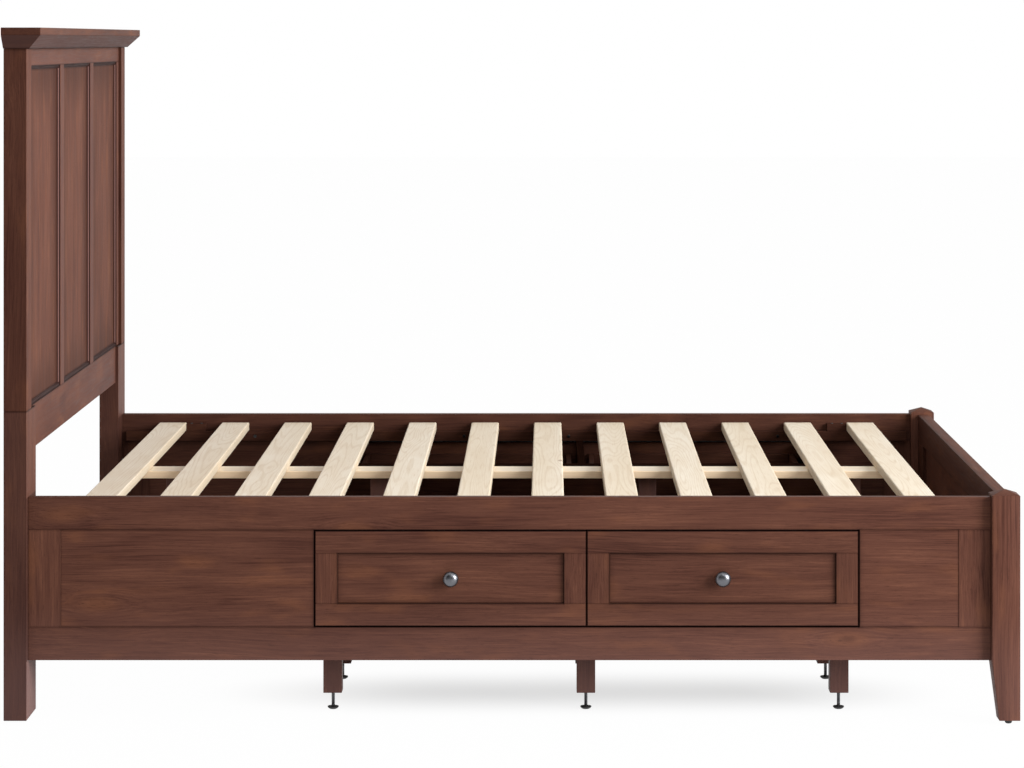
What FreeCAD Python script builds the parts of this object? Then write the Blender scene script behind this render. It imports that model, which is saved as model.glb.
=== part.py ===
"""A full-size storage platform bed with a panelled headboard, a low footboard and four drawers.

+X runs from the headboard to the footboard, +Y to the left of someone lying in the bed, +Z up.
The origin is on the floor under the middle of the bed. What is the same on both sides is modelled
on the left and mirrored to the right.
"""
import FreeCAD, Part
import os
import Sketcher

SLAT_COUNT = 12
HEAD_PANEL_COUNT = 3

SIZES = {
    # Plan of the bed: the length between headboard and footboard, and the width across the posts
    "inner_length": 1932,
    "overall_width": 1465,
    "edge_ease": 0.8,
    # Side rails: a frame of boards round two panels and the drawer opening
    "rail_setback": 20,
    "rail_thickness": 20,
    "rail_floor_gap": 126.5,
    "lower_rail_height": 66.5,
    "opening_height": 195,
    "upper_rail_height": 66,
    "rail_stile_width": 65,
    "head_end_panel_width": 508.5,
    "foot_end_panel_width": 199,
    "side_panel_recess": 1,
    # Headboard legs, posts and frame
    "head_post_depth": 46,
    "head_leg_width": 116,
    "head_post_width": 61,
    "head_leg_top": 627,
    "head_frame_recess": 7,
    "head_frame_thickness": 26,
    "head_lower_rail_height": 88,
    "head_panel_height": 692,
    "head_top_rail_height": 35,
    "head_stile_width": 32,
    "head_mullion_width": 48,
    "head_panel_recess": 7,
    "head_panel_thickness": 9,
    # Moulding planted round each headboard panel
    "moulding_width": 8,
    "moulding_flat": 2.5,
    "moulding_height": 6,
    # Crown moulding and cap board
    "crown_height": 27,
    "crown_foot": 6,
    "cap_overhang": 33,
    "cap_thickness": 15,
    # Footboard posts and frame
    "foot_post_width": 56,
    "foot_post_taper": 14,
    "foot_post_height": 459,
    "foot_post_peak": 10.5,
    "foot_post_peak_flat": 2,
    "foot_rail_inset": 17,
    "foot_rail_thickness": 27,
    "foot_top_height": 454,
    "foot_top_rail_height": 65,
    "foot_stile_width": 100,
    "foot_panel_recess": 8,
    # Glides under the posts and the center legs
    "glide_height": 9,
    "glide_toe_radius": 5,
    "glide_top_radius": 9,
    # Bed bolts from the posts into barrel nuts in the side frames
    "bolt_radius": 4,
    "bolt_clearance": 0.2,
    "bolt_reach": 52,
    "bolt_end_distance": 45,
    "bolt_head_radius": 8,
    "bolt_head_height": 5,
    "bolt_sink": 6,
    "nut_radius": 6,
    "nut_length": 14,
    "nut_edge_distance": 40,
    # Slats, the ledgers that they lie on, their stop blocks and the board under their middle
    "slat_width": 67,
    "slat_thickness": 20,
    "slat_drop": 20,
    "slat_end_gap": 4,
    "slat_margin": 91,
    "slat_round": 3,
    "ledger_width": 18,
    "ledger_height": 24,
    "ledger_end_gap": 11,
    "stop_block_length": 48,
    "stop_block_height": 18,
    "support_width": 83,
    "support_thickness": 16,
    "inner_center_leg_offset": 299,
    "outer_center_leg_margin": 121,
    # Drawer cases behind the side frames
    "case_panel_thickness": 17,
    "case_back_thickness": 18,
    "case_inset": 10.2,
    "case_front_gap": 0.5,
    "case_depth": 424,
    "case_end_drop": 46,
    # Support legs and leveling feet
    "leg_section": 38,
    "leg_foot_gap": 36,
    "leg_length": 149,
    "outer_leg_row": 119.5,
    "inner_leg_row": 422.5,
    "stud_radius": 3.5,
    "stud_clearance": 0.1,
    "stud_engagement": 40,
    "stud_bore_depth": 60,
    "foot_toe_radius": 6.5,
    "foot_radius": 11.5,
    "foot_rim_low": 4,
    "foot_rim_high": 5.5,
    "foot_hub_radius": 5.5,
    "foot_height": 7.5,
    # Drawer fronts and boxes
    "drawer_gap": 2.4,
    "drawer_front_thickness": 20,
    "drawer_frame_width": 44.5,
    "drawer_panel_recess": 6,
    "drawer_panel_thickness": 9,
    "box_wall": 12,
    "box_height": 153,
    "box_lift": 11,
    "box_depth": 402,
    "box_bottom_thickness": 6,
    "box_bottom_lift": 10,
    # Telescopic slides, three nested channels on each side of a drawer
    "slide_space": 12.7,
    "slide_length": 400,
    "slide_inset": 2.5,
    "slide_height": 45,
    "slide_center_lift": 75,
    "slide_sheet": 1.2,
    "slide_play": 0.4,
    "slide_case_lip": 9.7,
    "slide_middle_lip": 9.4,
    "slide_drawer_lip": 8.7,
    # Turned knobs
    "knob_base_radius": 8,
    "knob_base_height": 2,
    "knob_stem_radius": 6,
    "knob_stem_height": 12,
    "knob_head_radius": 16,
    "knob_rim_height": 17,
    "knob_height": 26,
}

doc = FreeCAD.newDocument("storage_platform_bed")
dims = doc.addObject("Spreadsheet::Sheet", "dims")
for row, (alias, value) in enumerate(SIZES.items(), start=1):
    dims.set(f"A{row}", alias)
    dims.set(f"B{row}", str(value))
    dims.setAlias(f"B{row}", alias)
doc.recompute()

# Planes that several pieces share, each an expression on the sheet
X_END = "((dims.head_post_depth + dims.inner_length + dims.foot_post_width) / 2)"
X_BACK = f"(-{X_END})"
X_HEAD = f"({X_BACK} + dims.head_post_depth)"
X_FOOT = f"({X_HEAD} + dims.inner_length)"
X_MIDDLE = f"(({X_HEAD} + {X_FOOT}) / 2)"
X_HEAD_STILE = f"({X_HEAD} + dims.rail_stile_width)"
X_FOOT_STILE = f"({X_FOOT} - dims.rail_stile_width)"
X_OPEN_HEAD = f"({X_HEAD_STILE} + dims.head_end_panel_width)"
X_OPEN_FOOT = f"({X_FOOT_STILE} - dims.foot_end_panel_width)"
X_OPEN_MIDDLE = f"(({X_OPEN_HEAD} + {X_OPEN_FOOT}) / 2)"
Y_POST = "(dims.overall_width / 2)"
Y_RAIL_OUT = f"({Y_POST} - dims.rail_setback)"
Y_RAIL_IN = f"({Y_RAIL_OUT} - dims.rail_thickness)"
Z_OPEN_LOW = "(dims.rail_floor_gap + dims.lower_rail_height)"
Z_OPEN_HIGH = f"({Z_OPEN_LOW} + dims.opening_height)"
Z_RAIL_TOP = f"({Z_OPEN_HIGH} + dims.upper_rail_height)"
Z_SLAT_TOP = f"({Z_RAIL_TOP} - dims.slat_drop)"
Z_SLAT_LOW = f"({Z_SLAT_TOP} - dims.slat_thickness)"
Z_LEDGER_LOW = f"({Z_SLAT_LOW} - dims.ledger_height)"

TURN_Y_UP = FreeCAD.Rotation(FreeCAD.Vector(1, 0, 0), 90)
TURN_Y_TO_X = FreeCAD.Rotation(FreeCAD.Vector(0, 0, 1), -90)
TURN_Z_TO_X = FreeCAD.Rotation(FreeCAD.Vector(0, 1, 0), 90)
TURN_Z_TO_Y = FreeCAD.Rotation(FreeCAD.Vector(1, 0, 0), -90)
nodes = []


def bind(thing, **expressions):
    """Binds properties of an object to expressions on the sheet."""
    for name, expression in expressions.items():
        thing.setExpression(name, expression)
    return thing


def place(thing, x, y, z):
    """Binds where an object's own origin lies."""
    for axis, expression in zip("xyz", (x, y, z)):
        thing.setExpression(f"Placement.Base.{axis}", expression)
    return thing


def spans(box, x, y, z):
    """Binds a box to three spans, each a pair of expressions."""
    for side, (low, high) in zip(("Length", "Width", "Height"), (x, y, z)):
        box.setExpression(side, f"({high}) - ({low})")
    return box


def board(name, x, y, z):
    """A board that fills three spans, with its edges eased."""
    body = doc.addObject("PartDesign::Body", name)
    stock = spans(body.newObject("PartDesign::AdditiveBox", f"{name}_stock"), x, y, z)
    ease = body.newObject("PartDesign::Chamfer", f"{name}_ease")
    ease.Base = (stock, [""])
    ease.UseAllEdges = True
    bind(ease, Size="dims.edge_ease")
    return place(body, x[0], y[0], z[0])


def block(name, x, y, z):
    """A sharp box that fills three spans, for cutting and for sheet metal."""
    return place(spans(doc.addObject("Part::Box", name), x, y, z), x[0], y[0], z[0])


def rod(name, radius, length, x, y, z, turn=FreeCAD.Rotation()):
    """A round bar along Z, or along the axis that Z is turned to."""
    bar = doc.addObject("Part::Cylinder", name)
    bar.Placement = FreeCAD.Placement(FreeCAD.Vector(), turn)
    bind(bar, Radius=radius, Height=length)
    return place(bar, x, y, z)


def upright_frustum(name, low_x, low_y, high_x, high_y, z):
    """A four-sided block whose rectangle changes evenly from its lower to its upper height."""
    wedge = doc.addObject("Part::Wedge", name)
    wedge.Placement = FreeCAD.Placement(FreeCAD.Vector(), TURN_Y_UP)
    bind(wedge, Xmin=low_x[0], Xmax=low_x[1], Zmin=f"-({low_y[1]})", Zmax=f"-({low_y[0]})")
    bind(wedge, X2min=high_x[0], X2max=high_x[1], Z2min=f"-({high_y[1]})", Z2max=f"-({high_y[0]})")
    return bind(wedge, Ymin=z[0], Ymax=z[1])


def level_frustum(name, back_y, back_z, front_y, front_z, x):
    """A four-sided block whose rectangle changes evenly from its back to its front."""
    wedge = doc.addObject("Part::Wedge", name)
    wedge.Placement = FreeCAD.Placement(FreeCAD.Vector(), TURN_Y_TO_X)
    bind(wedge, Xmin=f"-({back_y[1]})", Xmax=f"-({back_y[0]})", Zmin=back_z[0], Zmax=back_z[1])
    bind(wedge, X2min=f"-({front_y[1]})", X2max=f"-({front_y[0]})", Z2min=front_z[0], Z2max=front_z[1])
    return bind(wedge, Ymin=x[0], Ymax=x[1])


def joined(name, *solids):
    """Several solids as one."""
    piece = doc.addObject("Part::MultiFuse", name)
    piece.Shapes = list(solids)
    piece.Refine = True
    return piece


def cut(name, base, *tools):
    """The base less the tools."""
    piece = doc.addObject("Part::Cut", name)
    piece.Base = base
    piece.Tool = tools[0] if len(tools) == 1 else joined(f"{name}_tools", *tools)
    return piece


def common(name, base, tool):
    """What two solids share."""
    piece = doc.addObject("Part::Common", name)
    piece.Base = base
    piece.Tool = tool
    return piece


def mirrored(name, source):
    """The same piece on the right side of the bed."""
    piece = doc.addObject("Part::Mirroring", name)
    piece.Source = source
    piece.Normal = FreeCAD.Vector(0, 1, 0)
    return piece


def both_sides(*solids):
    """The pieces of the left side and their mirror images."""
    return [*solids, *(mirrored(f"right_{solid.Name}", solid) for solid in solids)]


def node(label, *solids):
    """Names what is written as one file: a solid, or a group of separate solids."""
    piece = solids[0]
    if len(solids) > 1:
        piece = doc.addObject("Part::Compound", f"{label}_group")
        piece.Links = list(solids)
    piece.Label = label
    nodes.append(piece)
    return piece


def turned(name, outline, domed):
    """A body turned about Z from an outline of (radius, height) points that starts and ends on the axis.

    A domed piece ends in an arc about a point on the axis in place of its last straight stretch.
    """
    body = doc.addObject("PartDesign::Body", name)
    plane = next(f for f in body.Origin.OriginFeatures if f.Role == "XZ_Plane")
    sketch = body.newObject("Sketcher::SketchObject", f"{name}_outline")
    sketch.AttachmentSupport = (plane, [""])
    sketch.MapMode = "FlatFace"
    points = [FreeCAD.Vector(dims.evalExpression(r), dims.evalExpression(z), 0) for r, z in outline]
    last = len(points) - 1
    for i, (start, end) in enumerate(zip(points[:-1], points[1:])):
        if domed and i == last - 1:
            rise = end.y - start.y
            radius = (start.x ** 2 + rise ** 2) / (2 * rise)
            circle = Part.Circle(FreeCAD.Vector(0, end.y - radius, 0), FreeCAD.Vector(0, 0, 1), radius)
            sketch.addGeometry(Part.ArcOfCircle(circle, circle.parameter(start), circle.parameter(end)))
            sketch.addConstraint(Sketcher.Constraint("PointOnObject", i, 3, -2))
        else:
            sketch.addGeometry(Part.LineSegment(start, end))
    sketch.addGeometry(Part.LineSegment(points[-1], points[0]))
    for i in range(last + 1):
        sketch.addConstraint(Sketcher.Constraint("Coincident", i, 2, (i + 1) % (last + 1), 1))
    for i, point in enumerate(outline):
        for kind, expression, axis in zip(("DistanceX", "DistanceY"), point, (-2, -1)):
            if expression == "0":
                sketch.addConstraint(Sketcher.Constraint("PointOnObject", i, 1, axis))
                continue
            size = dims.evalExpression(expression)
            index = sketch.addConstraint(Sketcher.Constraint(kind, -1, 1, i, 1, size))
            sketch.renameConstraint(index, f"{kind}_{i}")
            sketch.setExpression(f"Constraints.{kind}_{i}", expression)
    doc.recompute()
    turning = body.newObject("PartDesign::Revolution", f"{name}_turning")
    turning.Profile = sketch
    turning.ReferenceAxis = (sketch, ["V_Axis"])
    turning.Angle = 360
    return body


# Bed bolts: two at each corner, sunk into the back of the post and tightened in a barrel nut
Y_BOLT = f"(({Y_RAIL_OUT} + {Y_RAIL_IN}) / 2)"
BOLT_HEIGHTS = (f"({Z_OPEN_LOW} + dims.bolt_end_distance)", f"({Z_OPEN_HIGH} - dims.bolt_end_distance)")
HOLE_RADIUS = "dims.bolt_radius + dims.bolt_clearance"
SINK_RADIUS = "dims.bolt_head_radius + dims.bolt_clearance"
HEAD_SEAT = f"({X_BACK} + dims.bolt_sink)"
FOOT_SEAT = f"({X_END} - dims.bolt_sink)"
BOLT_X = {
    "head": (HEAD_SEAT, f"({X_HEAD} + dims.bolt_reach)"),
    "foot": (f"({X_FOOT} - dims.bolt_reach)", FOOT_SEAT),
}
SINK_X = {"head": (X_BACK, HEAD_SEAT), "foot": (FOOT_SEAT, X_END)}
CAP_X = {"head": f"{HEAD_SEAT} - dims.bolt_head_height", "foot": FOOT_SEAT}
NUT_X = {"head": f"({X_HEAD} + dims.nut_edge_distance)", "foot": f"({X_FOOT} - dims.nut_edge_distance)"}


def bolt_holes(name, corner):
    """The holes for a corner's two bolts, with the sinks for their heads."""
    low, high = BOLT_X[corner]
    sink_low, sink_high = SINK_X[corner]
    hole_length = f"{high} - {low} + 2 * dims.bolt_clearance"
    holes = []
    for i, z in enumerate(BOLT_HEIGHTS):
        holes.append(rod(f"{name}_hole_{i}", HOLE_RADIUS, hole_length,
                         f"{low} - dims.bolt_clearance", Y_BOLT, z, TURN_Z_TO_X))
        holes.append(rod(f"{name}_sink_{i}", SINK_RADIUS, f"{sink_high} - {sink_low}",
                         sink_low, Y_BOLT, z, TURN_Z_TO_X))
    return holes


def nut_holes(name, corner):
    """The holes in a stile's inner face that a corner's two barrel nuts lie in."""
    radius = "dims.nut_radius + dims.bolt_clearance"
    depth = f"{Y_BOLT} + dims.nut_length / 2 - {Y_RAIL_IN}"
    return [
        rod(f"{name}_nut_hole_{i}", radius, depth, NUT_X[corner], Y_RAIL_IN, z, TURN_Z_TO_Y)
        for i, z in enumerate(BOLT_HEIGHTS)
    ]


bolts, nuts = [], []
for corner, (low, high) in BOLT_X.items():
    for i, z in enumerate(BOLT_HEIGHTS):
        shank = rod(f"{corner}_bolt_shank_{i}", "dims.bolt_radius", f"{high} - {low}",
                    low, Y_BOLT, z, TURN_Z_TO_X)
        cap = rod(f"{corner}_bolt_cap_{i}", "dims.bolt_head_radius", "dims.bolt_head_height",
                  CAP_X[corner], Y_BOLT, z, TURN_Z_TO_X)
        bolts.append(joined(f"{corner}_bolt_{i}", shank, cap))
        barrel = rod(f"{corner}_nut_barrel_{i}", "dims.nut_radius", "dims.nut_length",
                     NUT_X[corner], f"{Y_BOLT} - dims.nut_length / 2", z, TURN_Z_TO_Y)
        thread = rod(f"{corner}_nut_thread_{i}", HOLE_RADIUS, "4 * dims.nut_radius",
                     f"{NUT_X[corner]} - 2 * dims.nut_radius", Y_BOLT, z, TURN_Z_TO_X)
        nuts.append(cut(f"{corner}_nut_{i}", barrel, thread))
node("bed_bolts", *both_sides(*bolts))
node("barrel_nuts", *both_sides(*nuts))

# Headboard legs and the narrower posts that stand on them
Y_LEG_IN = f"({Y_POST} - dims.head_leg_width)"
Y_HEAD_POST_IN = f"({Y_POST} - dims.head_post_width)"
Z_PANEL_TOP = "(dims.head_leg_top + dims.head_panel_height)"
Z_CROWN_LOW = f"({Z_PANEL_TOP} + dims.head_top_rail_height)"
Z_CROWN_TOP = f"({Z_CROWN_LOW} + dims.crown_height)"
HEAD_POST_X = (X_BACK, X_HEAD)
leg_blank = board("head_leg_blank", HEAD_POST_X, (Y_LEG_IN, Y_POST), ("dims.glide_height", "dims.head_leg_top"))
node("headboard_legs", *both_sides(cut("head_leg", leg_blank, *bolt_holes("head_leg", "head"))))
node("headboard_posts", *both_sides(
    board("head_post", HEAD_POST_X, (Y_HEAD_POST_IN, Y_POST), ("dims.head_leg_top", Z_CROWN_LOW))))


def inset(span, size):
    """A span drawn in at both ends by a size of the sheet."""
    return f"({span[0]} + dims.{size})", f"({span[1]} - dims.{size})"


# Headboard frame: rails, stiles and mullions round three flat panels
X_FRAME = f"({X_HEAD} - dims.head_frame_recess)"
X_PANEL = f"({X_FRAME} - dims.head_panel_recess)"
HEAD_FRAME_X = (f"{X_FRAME} - dims.head_frame_thickness", X_FRAME)
HEAD_PANEL_X = (f"{X_PANEL} - dims.head_panel_thickness", X_PANEL)
HEAD_PANEL_Z = ("dims.head_leg_top", Z_PANEL_TOP)
HEAD_PANEL_WIDTH = (
    f"((2 * {Y_HEAD_POST_IN} - 2 * dims.head_stile_width"
    f" - {HEAD_PANEL_COUNT - 1} * dims.head_mullion_width) / {HEAD_PANEL_COUNT})"
)
node("headboard_top_rail", board(
    "head_top_rail", HEAD_FRAME_X, (f"-{Y_HEAD_POST_IN}", Y_HEAD_POST_IN), (Z_PANEL_TOP, Z_CROWN_LOW)))
node("headboard_lower_rail", board(
    "head_lower_rail", HEAD_FRAME_X, (f"-{Y_LEG_IN}", Y_LEG_IN),
    ("dims.head_leg_top - dims.head_lower_rail_height", "dims.head_leg_top")))
head_stiles = both_sides(board(
    "head_stile", HEAD_FRAME_X, (f"{Y_HEAD_POST_IN} - dims.head_stile_width", Y_HEAD_POST_IN), HEAD_PANEL_Z))
panel_spans = []
for i in range(HEAD_PANEL_COUNT):
    y_low = f"({i} * ({HEAD_PANEL_WIDTH} + dims.head_mullion_width) - {Y_HEAD_POST_IN} + dims.head_stile_width)"
    panel_spans.append((y_low, f"({y_low} + {HEAD_PANEL_WIDTH})"))
for i, (y_low, _) in enumerate(panel_spans[1:]):
    head_stiles.append(board(
        f"head_mullion_{i}", HEAD_FRAME_X, (f"{y_low} - dims.head_mullion_width", y_low), HEAD_PANEL_Z))
node("headboard_stiles", *head_stiles)
node("headboard_panels", *(
    board(f"head_panel_{i}", HEAD_PANEL_X, span, HEAD_PANEL_Z) for i, span in enumerate(panel_spans)))

# Bevelled moulding in the corner between each panel and its frame, in four mitred strips
MOULDING_X = (X_PANEL, f"{X_PANEL} + dims.moulding_height")
mouldings = []
for i, span in enumerate(panel_spans):
    inner = inset(span, "moulding_width")
    z_inner = inset(HEAD_PANEL_Z, "moulding_width")
    ring = cut(
        f"moulding_ring_{i}",
        block(f"moulding_blank_{i}", MOULDING_X, span, HEAD_PANEL_Z),
        level_frustum(f"moulding_bevel_{i}", inner, z_inner, inset(span, "moulding_flat"),
                      inset(HEAD_PANEL_Z, "moulding_flat"), MOULDING_X),
    )
    mitres = joined(
        f"moulding_mitres_{i}",
        upright_frustum(f"moulding_low_mitre_{i}", MOULDING_X, span, MOULDING_X, inner,
                        (HEAD_PANEL_Z[0], z_inner[0])),
        upright_frustum(f"moulding_top_mitre_{i}", MOULDING_X, inner, MOULDING_X, span,
                        (z_inner[1], HEAD_PANEL_Z[1])),
    )
    mouldings.append(common(f"moulding_level_{i}", ring, mitres))
    mouldings.append(cut(f"moulding_upright_{i}", ring, mitres))
node("headboard_panel_mouldings", *mouldings)

# Crown: bevelled stock planted on the front and ends of a core and mitred at its corners, under a cap board
Y_CAP = f"({Y_POST} + dims.cap_overhang)"
Y_CROWN_FOOT = f"({Y_POST} + dims.crown_foot)"
X_CAP = f"({X_HEAD} + dims.cap_overhang)"
CROWN_Z = (Z_CROWN_LOW, Z_CROWN_TOP)
HEAD_SPAN = (f"-{Y_POST}", Y_POST)
CAP_SPAN = (f"-{Y_CAP}", Y_CAP)
node("crown_core", block("crown_core_block", HEAD_POST_X, HEAD_SPAN, CROWN_Z))
crown_ring = cut(
    "crown_ring",
    upright_frustum("crown_bevel", (X_BACK, f"{X_HEAD} + dims.crown_foot"), (f"-{Y_CROWN_FOOT}", Y_CROWN_FOOT),
                    (X_BACK, X_CAP), CAP_SPAN, CROWN_Z),
    block("crown_hollow", HEAD_POST_X, HEAD_SPAN, CROWN_Z),
)
crown_mitre = level_frustum("crown_mitre", HEAD_SPAN, CROWN_Z, CAP_SPAN, CROWN_Z, (X_HEAD, X_CAP))
node("crown_mouldings",
     common("crown_front", crown_ring, crown_mitre), cut("crown_returns", crown_ring, crown_mitre))
node("cap_board", board(
    "cap_board_body", (X_BACK, X_CAP), CAP_SPAN, (Z_CROWN_TOP, f"{Z_CROWN_TOP} + dims.cap_thickness")))

# Footboard posts: tapered on both inner faces below the rails, with a shallow pyramid on top
Y_FOOT_POST_IN = f"({Y_POST} - dims.foot_post_width)"
FOOT_POST_X = (X_FOOT, X_END)
FOOT_POST_Y = (Y_FOOT_POST_IN, Y_POST)
TOE_X = (f"{X_FOOT} + dims.foot_post_taper", X_END)
TOE_Y = (f"{Y_FOOT_POST_IN} + dims.foot_post_taper", Y_POST)
PEAK_RUN = "(dims.foot_post_width - dims.foot_post_peak_flat) / 2"
foot_post_shape = joined(
    "foot_post_shape",
    upright_frustum("foot_post_toe", TOE_X, TOE_Y, FOOT_POST_X, FOOT_POST_Y,
                    ("dims.glide_height", "dims.rail_floor_gap")),
    block("foot_post_shaft", FOOT_POST_X, FOOT_POST_Y, ("dims.rail_floor_gap", "dims.foot_post_height")),
    upright_frustum("foot_post_peak", FOOT_POST_X, FOOT_POST_Y,
                    (f"{X_FOOT} + {PEAK_RUN}", f"{X_END} - {PEAK_RUN}"),
                    (f"{Y_FOOT_POST_IN} + {PEAK_RUN}", f"{Y_POST} - {PEAK_RUN}"),
                    ("dims.foot_post_height", "dims.foot_post_height + dims.foot_post_peak")),
)
node("footboard_posts", *both_sides(cut("foot_post", foot_post_shape, *bolt_holes("foot_post", "foot"))))

# Footboard frame and panel
X_FOOT_RAIL = f"({X_FOOT} + dims.foot_rail_inset)"
FOOT_FRAME_X = (X_FOOT_RAIL, f"({X_FOOT_RAIL} + dims.foot_rail_thickness)")
Y_FOOT_STILE_IN = f"({Y_FOOT_POST_IN} - dims.foot_stile_width)"
Z_FOOT_PANEL_TOP = "(dims.foot_top_height - dims.foot_top_rail_height)"
FOOT_PANEL_Z = (Z_OPEN_LOW, Z_FOOT_PANEL_TOP)
FOOT_SPAN = (f"-{Y_FOOT_POST_IN}", Y_FOOT_POST_IN)
node("footboard_rails",
     board("foot_top_rail", FOOT_FRAME_X, FOOT_SPAN, (Z_FOOT_PANEL_TOP, "dims.foot_top_height")),
     board("foot_lower_rail", FOOT_FRAME_X, FOOT_SPAN, ("dims.rail_floor_gap", Z_OPEN_LOW)))
node("footboard_stiles", *both_sides(
    board("foot_board_stile", FOOT_FRAME_X, (Y_FOOT_STILE_IN, Y_FOOT_POST_IN), FOOT_PANEL_Z)))
node("footboard_panel", board(
    "foot_panel", inset(FOOT_FRAME_X, "foot_panel_recess"), (f"-{Y_FOOT_STILE_IN}", Y_FOOT_STILE_IN), FOOT_PANEL_Z))

# Side frames: upper and lower rail, end stiles, and flat panels beside the drawer opening
RAIL_Y = (Y_RAIL_IN, Y_RAIL_OUT)
SIDE_PANEL_Y = (Y_RAIL_IN, f"{Y_RAIL_OUT} - dims.side_panel_recess")
OPEN_Z = (Z_OPEN_LOW, Z_OPEN_HIGH)
node("side_rails", *both_sides(
    board("upper_side_rail", (X_HEAD, X_FOOT), RAIL_Y, (Z_OPEN_HIGH, Z_RAIL_TOP)),
    board("lower_side_rail", (X_HEAD, X_FOOT), RAIL_Y, ("dims.rail_floor_gap", Z_OPEN_LOW))))
side_stiles = []
for corner, span in (("head", (X_HEAD, X_HEAD_STILE)), ("foot", (X_FOOT_STILE, X_FOOT))):
    blank = board(f"{corner}_side_stile_blank", span, RAIL_Y, OPEN_Z)
    holes = bolt_holes(f"{corner}_side_stile", corner) + nut_holes(f"{corner}_side_stile", corner)
    side_stiles.append(cut(f"{corner}_side_stile", blank, *holes))
node("side_stiles", *both_sides(*side_stiles))
node("side_panels", *both_sides(
    board("head_end_panel", (X_HEAD_STILE, X_OPEN_HEAD), SIDE_PANEL_Y, OPEN_Z),
    board("foot_end_panel", (X_OPEN_FOOT, X_FOOT_STILE), SIDE_PANEL_Y, OPEN_Z)))

# Platform: ledgers on the side frames, slats between stop blocks, and a board under their middle
LEDGER_Y = (f"{Y_RAIL_IN} - dims.ledger_width", Y_RAIL_IN)
node("slat_ledgers", *both_sides(
    board("ledger", (f"{X_HEAD} + dims.ledger_end_gap", f"{X_FOOT} - dims.ledger_end_gap"),
          LEDGER_Y, (Z_LEDGER_LOW, Z_SLAT_LOW))))
X_SLATS = (f"({X_HEAD} + dims.slat_margin)", f"({X_FOOT} - dims.slat_margin)")
SLAT_PITCH = f"((dims.inner_length - 2 * dims.slat_margin - dims.slat_width) / {SLAT_COUNT - 1})"
SLAT_HALF = f"({Y_RAIL_IN} - dims.slat_end_gap)"
slats = []
for i in range(SLAT_COUNT):
    x_slat = f"({X_SLATS[0]} + {i} * {SLAT_PITCH})"
    slat = doc.addObject("PartDesign::Body", f"slat_{i}")
    stock = spans(slat.newObject("PartDesign::AdditiveBox", f"slat_stock_{i}"),
                  (x_slat, f"{x_slat} + dims.slat_width"), (f"-{SLAT_HALF}", SLAT_HALF), (Z_SLAT_LOW, Z_SLAT_TOP))
    rounding = slat.newObject("PartDesign::Fillet", f"slat_rounding_{i}")
    rounding.Base = (stock, [""])
    rounding.UseAllEdges = True
    bind(rounding, Radius="dims.slat_round")
    slats.append(place(slat, x_slat, f"-{SLAT_HALF}", Z_SLAT_LOW))
node("slats", *slats)
HEAD_STOP = f"({X_SLATS[0]} + dims.slat_width)"
FOOT_STOP = f"({X_SLATS[1]} - dims.slat_width)"
STOP_Z = (Z_SLAT_LOW, f"{Z_SLAT_LOW} + dims.stop_block_height")
node("slat_stop_blocks", *both_sides(
    board("head_stop", (HEAD_STOP, f"{HEAD_STOP} + dims.stop_block_length"), LEDGER_Y, STOP_Z),
    board("foot_stop", (f"{FOOT_STOP} - dims.stop_block_length", FOOT_STOP), LEDGER_Y, STOP_Z)))
Z_SUPPORT_LOW = f"({Z_SLAT_LOW} - dims.support_thickness)"
node("center_support", board(
    "center_board", X_SLATS, ("-dims.support_width / 2", "dims.support_width / 2"), (Z_SUPPORT_LOW, Z_SLAT_LOW)))

# Drawer cases: end panels, divider and back, fixed under the ledgers and carried by the support legs
Z_LEG_TOP = "(dims.leg_foot_gap + dims.leg_length)"
X_CASE = inset((X_OPEN_HEAD, X_OPEN_FOOT), "case_inset")
X_CASE_OUT = (f"({X_CASE[0]} - dims.case_panel_thickness)", f"({X_CASE[1]} + dims.case_panel_thickness)")
HALF_DIVIDER = "dims.case_panel_thickness / 2"
DIVIDER_X = (f"({X_OPEN_MIDDLE} - {HALF_DIVIDER})", f"({X_OPEN_MIDDLE} + {HALF_DIVIDER})")
Y_CASE_BACK = f"({Y_RAIL_IN} - dims.case_depth)"
CASE_Y = (Y_CASE_BACK, f"{Y_RAIL_IN} - dims.case_front_gap")
CASE_Z = (Z_LEG_TOP, Z_LEDGER_LOW)
CASE_END_Z = (f"{Z_LEG_TOP} - dims.case_end_drop", Z_LEDGER_LOW)
node("case_panels", *both_sides(
    board("case_head_end", (X_CASE_OUT[0], X_CASE[0]), CASE_Y, CASE_END_Z),
    board("case_divider", DIVIDER_X, CASE_Y, CASE_Z),
    board("case_foot_end", (X_CASE[1], X_CASE_OUT[1]), CASE_Y, CASE_END_Z)))
node("case_backs", *both_sides(
    board("case_back", X_CASE_OUT, (f"{Y_CASE_BACK} - dims.case_back_thickness", Y_CASE_BACK), CASE_Z)))

# Support legs with a bore for a leveling foot's stud, and the center legs on glides
LEG_HALF = "dims.leg_section / 2"
LEG_COLUMNS = {
    "head": f"({X_CASE[0]} + {LEG_HALF})",
    "middle": X_OPEN_MIDDLE,
    "foot": f"({X_CASE[1]} - {LEG_HALF})",
}
LEG_ROWS = {"outer": f"({Y_RAIL_IN} - dims.outer_leg_row)", "inner": f"({Y_RAIL_IN} - dims.inner_leg_row)"}


def about(middle):
    """The span of a leg's section about its middle."""
    return f"{middle} - {LEG_HALF}", f"{middle} + {LEG_HALF}"


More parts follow.
